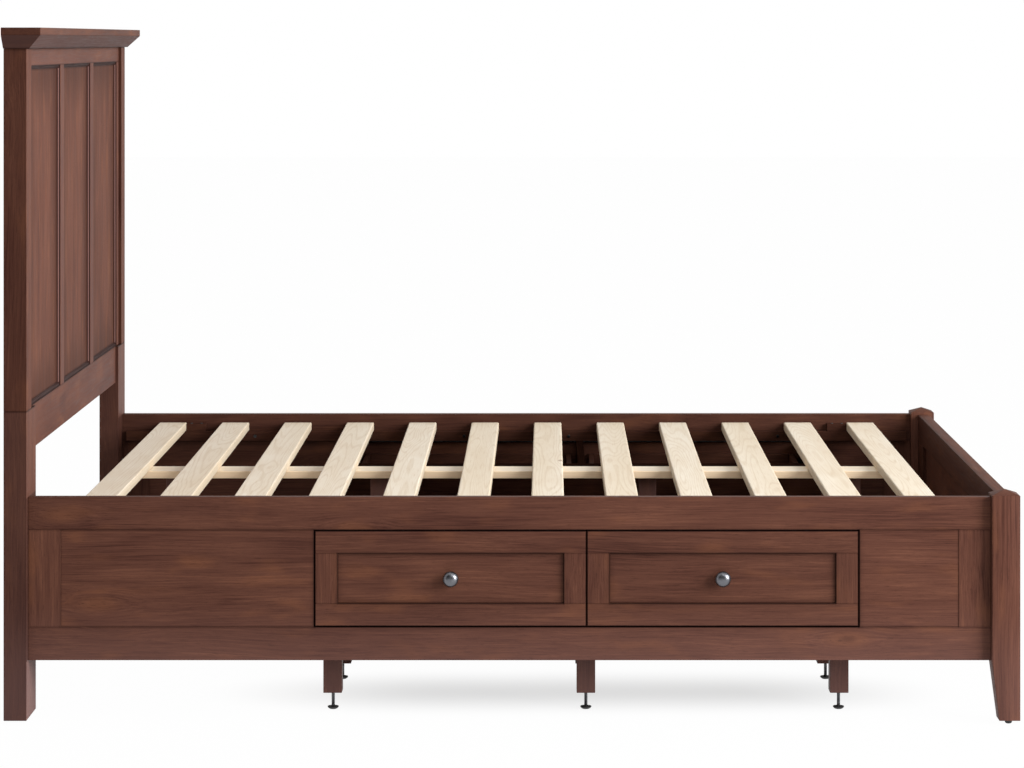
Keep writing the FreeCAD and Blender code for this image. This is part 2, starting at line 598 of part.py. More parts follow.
case_legs = []
for row, y in LEG_ROWS.items():
    for column, x in LEG_COLUMNS.items():
        blank = board(f"leg_blank_{row}_{column}", about(x), about(y), ("dims.leg_foot_gap", Z_LEG_TOP))
        bore = rod(f"leg_bore_{row}_{column}", "dims.stud_radius + dims.stud_clearance", "dims.stud_bore_depth",
                   x, y, "dims.leg_foot_gap")
        case_legs.append(cut(f"leg_{row}_{column}", blank, bore))
CENTER_LEGS = [
    f"({X_MIDDLE} - dims.inner_center_leg_offset)",
    f"({X_MIDDLE} + dims.inner_center_leg_offset)",
    f"({X_SLATS[0]} + dims.outer_center_leg_margin)",
    f"({X_SLATS[1]} - dims.outer_center_leg_margin)",
]
center_legs = [
    board(f"center_leg_{i}", about(x), about("0"), ("dims.glide_height", Z_SUPPORT_LOW))
    for i, x in enumerate(CENTER_LEGS)
]
node("support_legs", *both_sides(*case_legs), *center_legs)


def glide(name, x, y):
    """A glide that narrows towards the floor."""
    cone = doc.addObject("Part::Cone", name)
    bind(cone, Radius1="dims.glide_toe_radius", Radius2="dims.glide_top_radius", Height="dims.glide_height")
    return place(cone, x, y, "0")


TOE_HALF = "(dims.foot_post_width - dims.foot_post_taper) / 2"
post_glides = both_sides(
    glide("head_glide", f"({X_BACK} + {X_HEAD}) / 2", f"({Y_LEG_IN} + {Y_POST}) / 2"),
    glide("foot_glide", f"{X_END} - {TOE_HALF}", f"{Y_POST} - {TOE_HALF}"))
node("leg_glides", *post_glides, *(glide(f"center_glide_{i}", x, "0") for i, x in enumerate(CENTER_LEGS)))

# Leveling feet: a turned foot and its stud, which screws up and down in the leg
FOOT_OUTLINE = [
    ("0", "0"),
    ("dims.foot_toe_radius", "0"),
    ("dims.foot_radius", "dims.foot_rim_low"),
    ("dims.foot_radius", "dims.foot_rim_high"),
    ("dims.foot_hub_radius", "dims.foot_height"),
    ("0", "dims.foot_height"),
]
STUD_LENGTH = "dims.leg_foot_gap + dims.stud_engagement - dims.foot_height"
for row, y in LEG_ROWS.items():
    for column, x in LEG_COLUMNS.items():
        name = f"{row}_{column}"
        foot = place(turned(f"{name}_foot", FOOT_OUTLINE, domed=False), x, y, "0")
        stud = rod(f"{name}_stud", "dims.stud_radius", STUD_LENGTH, x, y, "dims.foot_height")
        node(f"left_{name}_leveling_foot", foot, stud)
        node(f"right_{name}_leveling_foot", *(mirrored(f"right_{s.Name}", s) for s in (foot, stud)))

# Drawer fronts: rails over the full width, stiles between them and a flat panel set back in the frame
Y_BOX_FRONT = f"({Y_RAIL_OUT} - dims.drawer_front_thickness)"
FRONT_Y = (Y_BOX_FRONT, Y_RAIL_OUT)
Y_FRONT_PANEL = f"({Y_RAIL_OUT} - dims.drawer_panel_recess)"
FRONT_PANEL_Y = (f"{Y_FRONT_PANEL} - dims.drawer_panel_thickness", Y_FRONT_PANEL)
FRONT_Z = inset(OPEN_Z, "drawer_gap")
FRONT_INNER_Z = inset(FRONT_Z, "drawer_frame_width")


def drawer_front(name, front):
    """The five boards of a front."""
    inner = inset(front, "drawer_frame_width")
    return [
        board(f"{name}_front_top_rail", front, FRONT_Y, (FRONT_INNER_Z[1], FRONT_Z[1])),
        board(f"{name}_front_low_rail", front, FRONT_Y, (FRONT_Z[0], FRONT_INNER_Z[0])),
        board(f"{name}_front_head_stile", (front[0], inner[0]), FRONT_Y, FRONT_INNER_Z),
        board(f"{name}_front_foot_stile", (inner[1], front[1]), FRONT_Y, FRONT_INNER_Z),
        board(f"{name}_front_panel", inner, FRONT_PANEL_Y, FRONT_INNER_Z),
    ]


# Drawer boxes: front and back between the sides, and a bottom held above their lower edges
Y_BOX_BACK = f"({Y_BOX_FRONT} - dims.box_depth)"
Z_BOX_LOW = f"({Z_OPEN_LOW} + dims.box_lift)"
BOX_Y = (Y_BOX_BACK, Y_BOX_FRONT)
BOX_Z = (Z_BOX_LOW, f"{Z_BOX_LOW} + dims.box_height")
BOX_INNER_Y = inset(BOX_Y, "box_wall")
Z_BOTTOM = f"({Z_BOX_LOW} + dims.box_bottom_lift)"


def drawer_box(name, bay):
    """The five boards of a box that fills a bay but for its slides."""
    outer = inset(bay, "slide_space")
    inner = inset(outer, "box_wall")
    return [
        board(f"{name}_box_head_side", (outer[0], inner[0]), BOX_Y, BOX_Z),
        board(f"{name}_box_foot_side", (inner[1], outer[1]), BOX_Y, BOX_Z),
        board(f"{name}_box_front", inner, (BOX_INNER_Y[1], Y_BOX_FRONT), BOX_Z),
        board(f"{name}_box_back", inner, (Y_BOX_BACK, BOX_INNER_Y[0]), BOX_Z),
        board(f"{name}_box_bottom", inner, BOX_INNER_Y, (Z_BOTTOM, f"{Z_BOTTOM} + dims.box_bottom_thickness")),
    ]


# Slides: the middle channel runs in the case's channel, and the drawer's channel runs in the middle one
SLIDE_Y = (f"{Y_RAIL_IN} - dims.slide_inset - dims.slide_length", f"{Y_RAIL_IN} - dims.slide_inset")
Z_SLIDE = f"({Z_BOX_LOW} + dims.slide_center_lift)"
CASE_HALF = "(dims.slide_height / 2)"
MIDDLE_HALF = f"({CASE_HALF} - dims.slide_sheet - dims.slide_play)"
DRAWER_HALF = f"({MIDDLE_HALF} - dims.slide_sheet - dims.slide_play)"
MIDDLE_WEB = "(dims.slide_sheet + dims.slide_play)"
DRAWER_WEB = "(dims.slide_space - dims.slide_sheet)"


def channel(name, x_case, away, start, lip, half, opens_away):
    """A folded channel along Y: its web starts at a depth from the case's face, and its lips run from there."""
    web = (start, f"{start} + dims.slide_sheet")
    reach = (start, f"{start} + {lip}") if opens_away else (f"{web[1]} - {lip}", web[1])
    hollow = (web[1], reach[1]) if opens_away else (reach[0], web[0])
    z_outer = (f"{Z_SLIDE} - {half}", f"{Z_SLIDE} + {half}")

    def across(span):
        ends = [f"{x_case} {away} ({depth})" for depth in span]
        return ends if away == "+" else ends[::-1]

    return cut(
        name,
        block(f"{name}_outside", across(reach), SLIDE_Y, z_outer),
        block(f"{name}_inside", across(hollow), SLIDE_Y, inset(z_outer, "slide_sheet")),
    )


def slide(name, x_case, away):
    """The case, middle and drawer member of a slide on the case's face at x_case."""
    return (
        channel(f"{name}_case", x_case, away, "0", "dims.slide_case_lip", CASE_HALF, True),
        channel(f"{name}_middle", x_case, away, MIDDLE_WEB, "dims.slide_middle_lip", MIDDLE_HALF, True),
        channel(f"{name}_drawer", x_case, away, DRAWER_WEB, "dims.slide_drawer_lip", DRAWER_HALF, False),
    )


# Knobs: a mushroom turned in one piece, on the middle of each front's panel
KNOB_OUTLINE = [
    ("0", "0"),
    ("dims.knob_base_radius", "0"),
    ("dims.knob_base_radius", "dims.knob_base_height"),
    ("dims.knob_stem_radius", "dims.knob_base_height"),
    ("dims.knob_stem_radius", "dims.knob_stem_height"),
    ("dims.knob_head_radius", "dims.knob_rim_height"),
    ("0", "dims.knob_height"),
]


def knob(name, front):
    """A knob that faces out of the front."""
    body = turned(f"{name}_knob", KNOB_OUTLINE, domed=True)
    body.Placement = FreeCAD.Placement(FreeCAD.Vector(), TURN_Z_TO_Y)
    return place(body, f"({front[0]} + {front[1]}) / 2", Y_FRONT_PANEL, f"({FRONT_Z[0]} + {FRONT_Z[1]}) / 2")


HALF_GAP = "dims.drawer_gap / 2"
DRAWERS = {
    "head": ((X_CASE[0], DIVIDER_X[0]), (f"({X_OPEN_HEAD} + dims.drawer_gap)", f"({X_OPEN_MIDDLE} - {HALF_GAP})")),
    "foot": ((DIVIDER_X[1], X_CASE[1]), (f"({X_OPEN_MIDDLE} + {HALF_GAP})", f"({X_OPEN_FOOT} - dims.drawer_gap)")),
}
case_members = []
for name, (bay, front) in DRAWERS.items():
    head_slide = slide(f"{name}_slide_head", bay[0], "+")
    foot_slide = slide(f"{name}_slide_foot", bay[1], "-")
    case_members += [head_slide[0], foot_slide[0]]
    pieces = {
        "front": drawer_front(name, front),
        "box": drawer_box(name, bay),
        "knob": [knob(name, front)],
        "slide_middles": [head_slide[1], foot_slide[1]],
        "slide_runners": [head_slide[2], foot_slide[2]],
    }
    for piece, solids in pieces.items():
        node(f"left_{name}_drawer_{piece}", *solids)
        node(f"right_{name}_drawer_{piece}", *(mirrored(f"right_{s.Name}", s) for s in solids))
node("slide_case_members", *both_sides(*case_members))

doc.recompute()
for thing in doc.Objects:
    if {"Invalid", "Error"} & set(thing.State):
        raise RuntimeError(f"{thing.Name} could not be built: {thing.State}")
for piece in nodes:
    if piece.Shape.isNull() or not piece.Shape.isValid():
        raise RuntimeError(f"{piece.Label} has no valid shape")

os.makedirs("parts", exist_ok=True)
for piece in nodes:
    piece.Shape.exportStep(f"parts/{piece.Label}.step")
    print(f"{piece.Label}: {len(piece.Shape.Solids)} solids, {piece.Shape.Volume / 1e6:.3f} litres")
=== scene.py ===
"""The look of a storage platform bed: stained hardwood frame, pine slats, four drawers on steel slides."""
import math
import bmesh
import bpy
from mathutils import Matrix, Vector


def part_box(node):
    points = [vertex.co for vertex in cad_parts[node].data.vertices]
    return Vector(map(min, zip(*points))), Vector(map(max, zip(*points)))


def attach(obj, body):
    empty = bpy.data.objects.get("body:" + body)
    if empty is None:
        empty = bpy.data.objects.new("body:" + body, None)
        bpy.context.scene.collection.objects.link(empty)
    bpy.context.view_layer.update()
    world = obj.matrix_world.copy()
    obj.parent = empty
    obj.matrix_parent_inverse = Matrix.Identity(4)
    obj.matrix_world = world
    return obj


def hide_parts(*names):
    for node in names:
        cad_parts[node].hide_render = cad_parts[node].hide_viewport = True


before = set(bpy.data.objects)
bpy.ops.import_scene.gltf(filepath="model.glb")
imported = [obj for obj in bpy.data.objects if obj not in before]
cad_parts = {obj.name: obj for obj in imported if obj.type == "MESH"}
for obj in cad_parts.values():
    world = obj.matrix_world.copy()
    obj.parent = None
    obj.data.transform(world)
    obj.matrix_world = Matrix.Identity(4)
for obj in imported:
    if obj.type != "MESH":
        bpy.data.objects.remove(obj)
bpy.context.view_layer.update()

# Headboard legs and posts
# Square hardwood posts, stained a reddish walnut brown and lacquered satin, with the grain upright.
# Each post stands on a wider leg, glued over a dowel, and the seam between them stays in sight.


def add(tree, kind, inputs, **settings):
    """A node with its settings made and each input given a value or linked to a socket."""
    made = tree.nodes.new(kind)
    for name, value in settings.items():
        setattr(made, name, value)
    for name, value in inputs.items():
        if isinstance(value, bpy.types.NodeSocket):
            tree.links.new(value, made.inputs[name])
        else:
            made.inputs[name].default_value = value
    return made


def sum_up(tree, operation, a, b=0.0):
    """A Math node's result."""
    return add(tree, "ShaderNodeMath", {0: a, 1: b}, operation=operation).outputs[0]


def moved(tree, operation, a, b=(0.0, 0.0, 0.0)):
    """A Vector Math node's vector."""
    return add(tree, "ShaderNodeVectorMath", {0: a, 1: b}, operation=operation).outputs[0]


def scaled(tree, vector, factor):
    """A vector or colour times a factor."""
    return add(tree, "ShaderNodeVectorMath", {0: vector, "Scale": factor}, operation="SCALE").outputs[0]


def tinted(tree, share, a, b):
    """Two colours mixed by a share."""
    return add(tree, "ShaderNodeMix", {0: share, 6: a, 7: b}, data_type="RGBA").outputs[2]


def layered(tree, base, layers):
    """A colour with others laid over it, each by a mask and a share."""
    for mask, share, colour in layers:
        base = tinted(tree, sum_up(tree, "MULTIPLY", mask, share), base, colour)
    return base


def axes_of(tree, vector):
    """A vector's X, Y and Z."""
    return add(tree, "ShaderNodeSeparateXYZ", {0: vector}).outputs


def stretched(tree, vector, along, across):
    """Coordinates scaled along the grain, which runs along X, and across it."""
    return moved(tree, "MULTIPLY", vector, (along, across, across))


def noise(tree, vector, detail, roughness=0.5):
    """Noise at the scale of its coordinates."""
    made = add(tree, "ShaderNodeTexNoise",
               {"Vector": vector, "Scale": 1.0, "Detail": detail, "Roughness": roughness})
    return made.outputs[0]


def between(tree, value, low, high, out_low=0.0, out_high=1.0):
    """A value eased from one range to another."""
    return add(tree, "ShaderNodeMapRange",
               {"Value": value, "From Min": low, "From Max": high, "To Min": out_low, "To Max": out_high},
               interpolation_type="SMOOTHSTEP").outputs[0]


def shader_group(name, inputs, outputs):
    """An empty node group with named sockets, and its inner ends."""
    tree = bpy.data.node_groups.new(name, "ShaderNodeTree")
    for label, kind, value in inputs:
        socket = tree.interface.new_socket(label, in_out="INPUT", socket_type=kind)
        if value is not None:
            socket.default_value = value
    for label, kind in outputs:
        tree.interface.new_socket(label, in_out="OUTPUT", socket_type=kind)
    return tree, tree.nodes.new("NodeGroupInput").outputs, tree.nodes.new("NodeGroupOutput").inputs


def mask_group(places):
    """The node group that puts out a mask, made once by the function that works it out for a spot."""
    tree, given, result = shader_group(places.__name__, [("Vector", "NodeSocketVector", None)],
                                       [("Mask", "NodeSocketFloat")])
    tree.links.new(places(tree, given["Vector"]), result["Mask"])
    return tree


def masked(tree, places, spot):
    """The mask that a group puts out for a spot."""
    return add(tree, "ShaderNodeGroup", {"Vector": spot}, node_tree=places).outputs["Mask"]


# The stain's grain is a tone summed from layers, each with its scale along and across the fibres,
# detail, roughness and share. The fibres sway and part round a few knots.
STAIN_DARK, STAIN_MIDDLE = (0.058, 0.021, 0.015, 1), (0.108, 0.0425, 0.0280, 1)
STAIN_LIGHT, STAIN_WARM = (0.172, 0.070, 0.043, 1), (0.194, 0.074, 0.037, 1)
KNOT_FLARE, KNOT_CORE, PORE = (0.205, 0.078, 0.036, 1), (0.035, 0.013, 0.010, 1), (0.020, 0.009, 0.007, 1)
KNOT_SCALE, KNOT_BEND = (3.0, 8.0), (0.0, -0.11, -0.11)
SWAY_SCALE, SWAY_REACH = (1.1, 3.5), (0.0, 0.06, 0.06)
GRAIN_LAYERS = {
    "blotch": (2.2, 9.0, 2.0, 0.5, 0.50),
    "bands": (1.3, 40.0, 3.0, 0.55, 0.24),
    "lines": (2.4, 100.0, 3.0, 0.6, 0.25),
    "streaks": (3.6, 250.0, 3.0, 0.6, 0.50),
    "fine": (9.0, 480.0, 3.0, 0.6, 0.85),
    "patches": (6.0, 34.0, 2.0, 0.5, 0.42),
}
stain_grain, given, result = shader_group(
    "stain_grain",
    [("Vector", "NodeSocketVector", None), ("Shade", "NodeSocketFloat", 1.0),
     ("Knots", "NodeSocketFloat", 1.0)],
    [("Color", "NodeSocketColor"), ("Roughness", "NodeSocketFloat"), ("Height", "NodeSocketFloat")])
tree = stain_grain
knot_spot = stretched(tree, given["Vector"], *KNOT_SCALE)
knot = add(tree, "ShaderNodeTexVoronoi", {"Vector": knot_spot, "Scale": 1.0}).outputs
knot_pull, knot_flare, knot_core = (
    sum_up(tree, "MULTIPLY", between(tree, knot["Distance"], low, high, 1.0, 0.0), given["Knots"])
    for low, high in ((0.0, 0.36), (0.06, 0.20), (0.03, 0.09)))
from_knot = moved(tree, "SUBTRACT", knot_spot, knot["Position"])
round_knot = scaled(tree, moved(tree, "MULTIPLY", from_knot, KNOT_BEND), knot_pull)
sway = add(tree, "ShaderNodeTexNoise",
           {"Vector": stretched(tree, given["Vector"], *SWAY_SCALE), "Scale": 1.0, "Detail": 2.0}).outputs[1]
sway = moved(tree, "MULTIPLY", moved(tree, "SUBTRACT", sway, (0.5, 0.5, 0.5)), SWAY_REACH)
fibre = moved(tree, "ADD", moved(tree, "ADD", given["Vector"], sway), round_knot)
tone = 0.5
layers = {}
for layer, (along, across, detail, roughness, share) in GRAIN_LAYERS.items():
    layers[layer] = noise(tree, stretched(tree, fibre, along, across), detail, roughness)
    lift = sum_up(tree, "MULTIPLY", sum_up(tree, "SUBTRACT", layers[layer], 0.5), share)
    tone = sum_up(tree, "ADD", lift, tone)
pores = between(tree, noise(tree, stretched(tree, fibre, 45.0, 1300.0), 1.0), 0.60, 0.72)
warm = noise(tree, moved(tree, "ADD", stretched(tree, fibre, 8.0, 26.0), (4.1, 2.3, 7.7)), 2.0)
warm = between(tree, warm, 0.52, 0.78)
base = tinted(tree, between(tree, tone, 0.12, 0.55), STAIN_DARK, STAIN_MIDDLE)
base = tinted(tree, between(tree, tone, 0.48, 0.95), base, STAIN_LIGHT)
base = layered(tree, base, ((warm, 0.44, STAIN_WARM), (knot_flare, 0.38, KNOT_FLARE),
                            (knot_core, 0.50, KNOT_CORE), (pores, 0.35, PORE)))
rough = between(tree, sum_up(tree, "ADD", layers["streaks"], layers["fine"]), 0.6, 1.4, 0.42, 0.58)
height = sum_up(tree, "SUBTRACT", layers["fine"], sum_up(tree, "MULTIPLY", pores, 0.6))
tree.links.new(scaled(tree, base, given["Shade"]), result["Color"])
tree.links.new(rough, result["Roughness"])
tree.links.new(height, result["Height"])

# A soft dark line along a box's edges: glaze wiped into joints and corners, and painted shade in
# gaps, recesses and fillets.
GLAZE_AND_SHADE = (0.012, 0.004, 0.003, 1)
glaze_and_shade_line, given, result = shader_group(
    "glaze_and_shade_line",
    [("Vector", "NodeSocketVector", None), ("Middle", "NodeSocketVector", (0, 0, 0)),
     ("Half", "NodeSocketVector", (1, 1, 1)), ("Width", "NodeSocketFloat", 0.006)],
    [("Mask", "NodeSocketFloat")])
tree = glaze_and_shade_line
away = moved(tree, "ABSOLUTE", moved(tree, "SUBTRACT", given["Vector"], given["Middle"]))
axes = axes_of(tree, moved(tree, "SUBTRACT", away, given["Half"]))
edge = sum_up(tree, "MAXIMUM", sum_up(tree, "MAXIMUM", axes[0], axes[1]), axes[2])
edge = sum_up(tree, "DIVIDE", sum_up(tree, "ABSOLUTE", edge), given["Width"])
tree.links.new(between(tree, edge, 0.0, 1.0, 1.0, 0.0), result["Mask"])

# A pale lilac grey is mixed into the wood, by one share near the floor and another above that height:
# painted sheen that stands for the white floor's reflection.
SHEEN, SHEEN_HEIGHTS = (0.25, 0.150, 0.145, 1), (0.05, 0.27)
floor_sheen, given, result = shader_group(
    "floor_sheen",
    [("Color", "NodeSocketColor", None), ("Vector", "NodeSocketVector", None),
     ("Near Floor", "NodeSocketFloat", 0.17), ("Above", "NodeSocketFloat", 0.0)],
    [("Color", "NodeSocketColor")])
height = axes_of(floor_sheen, given["Vector"])[2]
sheen_share = between(floor_sheen, height, *SHEEN_HEIGHTS, given["Near Floor"], given["Above"])
floor_sheen.links.new(tinted(floor_sheen, sheen_share, given["Color"], SHEEN), result["Color"])

GRAIN_TURN = {"X": (0.0, 0.0, 0.0), "Y": (0.0, 0.0, -math.pi / 2), "Z": (0.0, math.pi / 2, 0.0)}
CROSS_START = (0.31, 0.17, 0.23)


def new_finish(name):
    """A new material with its node tree, its shader and its Object coordinates."""
    made = bpy.data.materials.new(name)
    made.use_nodes = True
    spot = add(made.node_tree, "ShaderNodeTexCoord", {}).outputs["Object"]
    return made, made.node_tree, made.node_tree.nodes["Principled BSDF"], spot


def lay_on(tree, shader, colour, rough, height, strength, depth):
    """Gives a shader its colour and roughness, and bumps of a strength and depth."""
    bump = add(tree, "ShaderNodeBump", {"Strength": strength, "Distance": depth, "Height": height})
    tree.links.new(colour, shader.inputs["Base Color"])
    tree.links.new(rough, shader.inputs["Roughness"])
    tree.links.new(bump.outputs[0], shader.inputs["Normal"])


def stained_wood(name, grain, start=(0.0, 0.0, 0.0), cross=None, joints=(), shade=1.0, knots=1.0,
                 darker=None, gloss=0.05, high_sheen=0.0, low_sheen=0.17):
    """Stained hardwood whose grain runs along one axis, paler by painted sheen near the floor and above it.

    Cross is an axis and the mask of the boards whose grain runs along it instead. Dark lines are boxes, each
    a middle and half sizes, darkened along their edges to a width and depth, with glaze where parts meet and
    painted shade in gaps and recesses. Darker is the mask of other places painted darker, mostly painted
    shade on faces turned from the light.
    """
    made, tree, shader, spot = new_finish(name)
    turned = add(tree, "ShaderNodeMapping",
                 {"Vector": spot, "Rotation": GRAIN_TURN[grain], "Location": start}).outputs[0]
    if cross:
        other, boards = cross
        across = add(tree, "ShaderNodeMapping",
                     {"Vector": spot, "Rotation": GRAIN_TURN[other], "Location": CROSS_START}).outputs[0]
        turned = add(tree, "ShaderNodeMix", {0: masked(tree, boards, spot), 4: turned, 5: across},
                     data_type="VECTOR").outputs[1]
    stain = add(tree, "ShaderNodeGroup", {"Vector": turned, "Shade": shade, "Knots": knots},
                node_tree=stain_grain).outputs
    # Painted sheen: a pale lilac grey mixed in near the floor and, by another share, above it.
    colour = add(tree, "ShaderNodeGroup",
                 {"Color": stain["Color"], "Vector": spot, "Near Floor": low_sheen, "Above": high_sheen},
                 node_tree=floor_sheen).outputs["Color"]
    rough = stain["Roughness"]
    for middle, half, width, depth in joints:
        line = add(tree, "ShaderNodeGroup", {"Vector": spot, "Middle": middle, "Half": half, "Width": width},
                   node_tree=glaze_and_shade_line).outputs["Mask"]
        share = sum_up(tree, "MULTIPLY", line, depth)
        # Each dark line darkens the colour: glaze where parts meet, painted shade in gaps and recesses.
        colour = tinted(tree, share, colour, GLAZE_AND_SHADE)
        rough = sum_up(tree, "MAXIMUM", rough, share)
    if darker:
        colour = tinted(tree, masked(tree, darker, spot), colour, GLAZE_AND_SHADE)
    lay_on(tree, shader, colour, rough, stain["Height"], 0.12, 0.0006)
    shader.inputs["Specular IOR Level"].default_value = gloss
    return made


def finish(material, *names):
    """Gives CAD nodes their material."""
    for name in names:
        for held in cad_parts[name].material_slots:
            held.material = material


# Painted shade: posts and legs are darker on all faces but the one towards the slats, and the legs also on
# that face between the side rails' heights.
SIDE_SHADE, FACE_FROM, FACE_TO = 0.52, 0.0004, 0.0001


def shaded_post_sides(face, beside=(0.0, 0.0)):
    """Painted shade on a post: faces other than the one towards the slats, and that face between two
    heights.
    """
    @mask_group
    def painted_side_shade(tree, spot):
        axes = axes_of(tree, spot)
        off_face_shade = between(tree, axes[0], face - FACE_FROM, face - FACE_TO, SIDE_SHADE, 0.0)
        above = sum_up(tree, "GREATER_THAN", axes[2], beside[0])
        below = sum_up(tree, "LESS_THAN", axes[2], beside[1])
        corner = sum_up(tree, "MULTIPLY", sum_up(tree, "MULTIPLY", above, below), SIDE_SHADE)
        return sum_up(tree, "MAXIMUM", off_face_shade, corner)

    return painted_side_shade


ANYWHERE = 3.0
leg_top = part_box("headboard_legs")[1]
post_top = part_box("headboard_posts")[1]
side_heights = [corner.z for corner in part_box("side_rails")]
leg_seam = ((0.0, 0.0, leg_top.z / 2), (ANYWHERE, ANYWHERE, leg_top.z / 2), 0.004, 0.5)
finish(stained_wood("leg_post_wood", "Z", joints=(leg_seam,), shade=1.1, gloss=0.05, high_sheen=0.06, low_sheen=0.37,
                    darker=shaded_post_sides(leg_top.x, side_heights)), "headboard_legs")
finish(stained_wood("post_wood", "Z", joints=(leg_seam,), shade=1.1, gloss=0.02,
                    darker=shaded_post_sides(post_top.x)), "headboard_posts")

# Headboard frame
# A top and a lower rail with stiles and two mullions between them, tenoned and glued flush.
# The rails' grain runs across the bed and the stiles' upright, and glaze darkens the joints.
head_frame_low, head_frame_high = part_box("headboard_stiles")
head_frame_middle = (head_frame_low + head_frame_high) / 2
head_frame_half = (head_frame_high - head_frame_low) / 2
head_joint = ((0.0, 0.0, head_frame_middle.z), (ANYWHERE, head_frame_half.y, head_frame_half.z), 0.004, 0.22)
head_look = {"joints": (head_joint,), "shade": 1.03, "knots": 0.4, "gloss": 0.02, "high_sheen": 0.10}
finish(stained_wood("head_rail_wood", "Y", (0.4, 0.1, 0.2), **head_look),
       "headboard_top_rail", "headboard_lower_rail")
finish(stained_wood("head_stile_wood", "Z", (0.1, 0.3, 0.5), **head_look), "headboard_stiles")

# Headboard panels
# Three thin flat panels with upright grain, held in grooves of the frame. They are darker along
# their edges: a thin dark line where they meet the moulding, and a broad band of painted shade towards it.
MULLION, MOULDING_WIDTH = 0.048, 0.008
# A broad band of painted shade and a thin dark line at the moulding, as width and depth.
PANEL_DARK_LINES = ((0.120, 0.38), (0.005, 0.40))
panels_low, panels_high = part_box("headboard_panels")
panel_width = (panels_high.y - panels_low.y - 2 * MULLION) / 3
panel_starts = [panels_low.y + i * (panel_width + MULLION) for i in range(3)]
panel_dark_lines = []
for y in panel_starts:
    middle = (0.0, y + panel_width / 2, (panels_low.z + panels_high.z) / 2)
    half = (ANYWHERE, panel_width / 2 - MOULDING_WIDTH, (panels_high.z - panels_low.z) / 2 - MOULDING_WIDTH)
    panel_dark_lines.extend((middle, half, width, depth) for width, depth in PANEL_DARK_LINES)
finish(stained_wood("head_panel_wood", "Z", (0.7, 0.2, 0.1), joints=panel_dark_lines, shade=1.18, knots=0.3,
                    gloss=0.012), "headboard_panels")

# Panel mouldings
# Small strips of an ovolo between two fillets, planted round each panel, mitred at the corners and
# pinned. The fillets get painted shade, so two dark lines run along each strip; the level strips get more
# painted shade, and a painted sheen lightens all the strips.
MOULDING_PROFILE = [(0.0, 0.0), (0.0, 6.0), (1.4, 6.0), (1.7, 4.9), (3.0, 4.7), (4.3, 4.1), (5.4, 3.2),
                    (6.1, 2.1), (6.4, 1.3), (7.6, 1.1), (8.0, 0.7), (8.0, 0.0)]
MOULDING_FOOT = panels_high.x
moulding_low, moulding_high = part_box("headboard_panel_mouldings")


def keep(name, shape, material):
    """The object of a finished shape."""
    mesh = bpy.data.meshes.new(name)
    shape.to_mesh(mesh)
    shape.free()
    mesh.materials.append(material)
    mesh.set_sharp_from_angle(angle=math.radians(35))
    piece = bpy.data.objects.new(name, mesh)
    bpy.context.scene.collection.objects.link(piece)
    return piece


def moulding_strip(shape, axis, edge, inward, start, end):
    """A strip along an axis whose section is drawn out from one mitre and turned over at the other."""
    corners = []
    for run, height in MOULDING_PROFILE:
        off = run / 1000
        point = Vector((MOULDING_FOOT + height / 1000, 0.0, 0.0))
        point["XYZ".index(axis)] = start + off
        point["XZY".index(axis)] = edge + inward * off
        corners.append(shape.verts.new(point))
    section = shape.faces.new(corners)
    drawn = bmesh.ops.extrude_face_region(shape, geom=[section])["geom"]
    for corner in drawn:
        if isinstance(corner, bmesh.types.BMVert):
            corner.co["XYZ".index(axis)] = start + end - corner.co["XYZ".index(axis)]


shape = bmesh.new()
for y in panel_starts:
    for edge, inward in ((panels_low.z, 1), (panels_high.z, -1)):
        moulding_strip(shape, "Y", edge, inward, y, y + panel_width)
    for edge, inward in ((y, 1), (y + panel_width, -1)):
        moulding_strip(shape, "Z", edge, inward, panels_low.z, panels_high.z)
bmesh.ops.recalc_face_normals(shape, faces=shape.faces)


@mask_group
def level_strips(tree, spot):
    """The strips along the panels' upper and lower edges."""
    middle = (moulding_low.z + moulding_high.z) / 2
    reach = (moulding_high.z - moulding_low.z) / 2 - MOULDING_WIDTH
    off = sum_up(tree, "ABSOLUTE", sum_up(tree, "SUBTRACT", axes_of(tree, spot)[2], middle))
    return sum_up(tree, "GREATER_THAN", off, reach)


@mask_group
def fillets(tree, spot):
    """Painted shade in the strips' two fillets, and more of it on the level strips."""
    rise = sum_up(tree, "SUBTRACT", axes_of(tree, spot)[0], MOULDING_FOOT)
    low = between(tree, rise, 0.0014, 0.0026, 0.85, 0.0)
    high = between(tree, rise, 0.0036, 0.0046, 0.0, 0.92)
    level = sum_up(tree, "MULTIPLY", masked(tree, level_strips, spot), 0.84)
    return sum_up(tree, "MAXIMUM", sum_up(tree, "MAXIMUM", low, high), level)


moulding_wood = stained_wood("panel_moulding_wood", "Z", (0.2, 0.6, 0.3), cross=("Y", level_strips),
                             shade=1.1, knots=0.0, darker=fillets, gloss=0.015, high_sheen=0.45)
panel_mouldings = keep("panel_mouldings", shape, moulding_wood)
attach(panel_mouldings, "bed_frame")
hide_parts("headboard_panel_mouldings")

# Crown and cap
# A solid core with a beveled crown moulding round three sides, mitred at the front corners,
# under a square-edged cap board that overhangs the front and both ends.
crown_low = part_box("crown_core")[0]
# A painted shadow line darkens the crown's lower edge.
crown_shadow_line = ((0.0, 0.0, crown_low.z + 1.0), (ANYWHERE, ANYWHERE, 1.0), 0.004, 0.5)
EDGE_FROM, EDGE_TO = 0.002, 0.0005
cap_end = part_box("cap_board")[1].y


@mask_group
def crown_returns(tree, spot):
    """The crown's two end pieces, outside the mitres."""
    axes = axes_of(tree, spot)
    out = sum_up(tree, "SUBTRACT", sum_up(tree, "ABSOLUTE", axes[1]), post_top.y)
    return sum_up(tree, "GREATER_THAN", out, sum_up(tree, "SUBTRACT", axes[0], post_top.x))


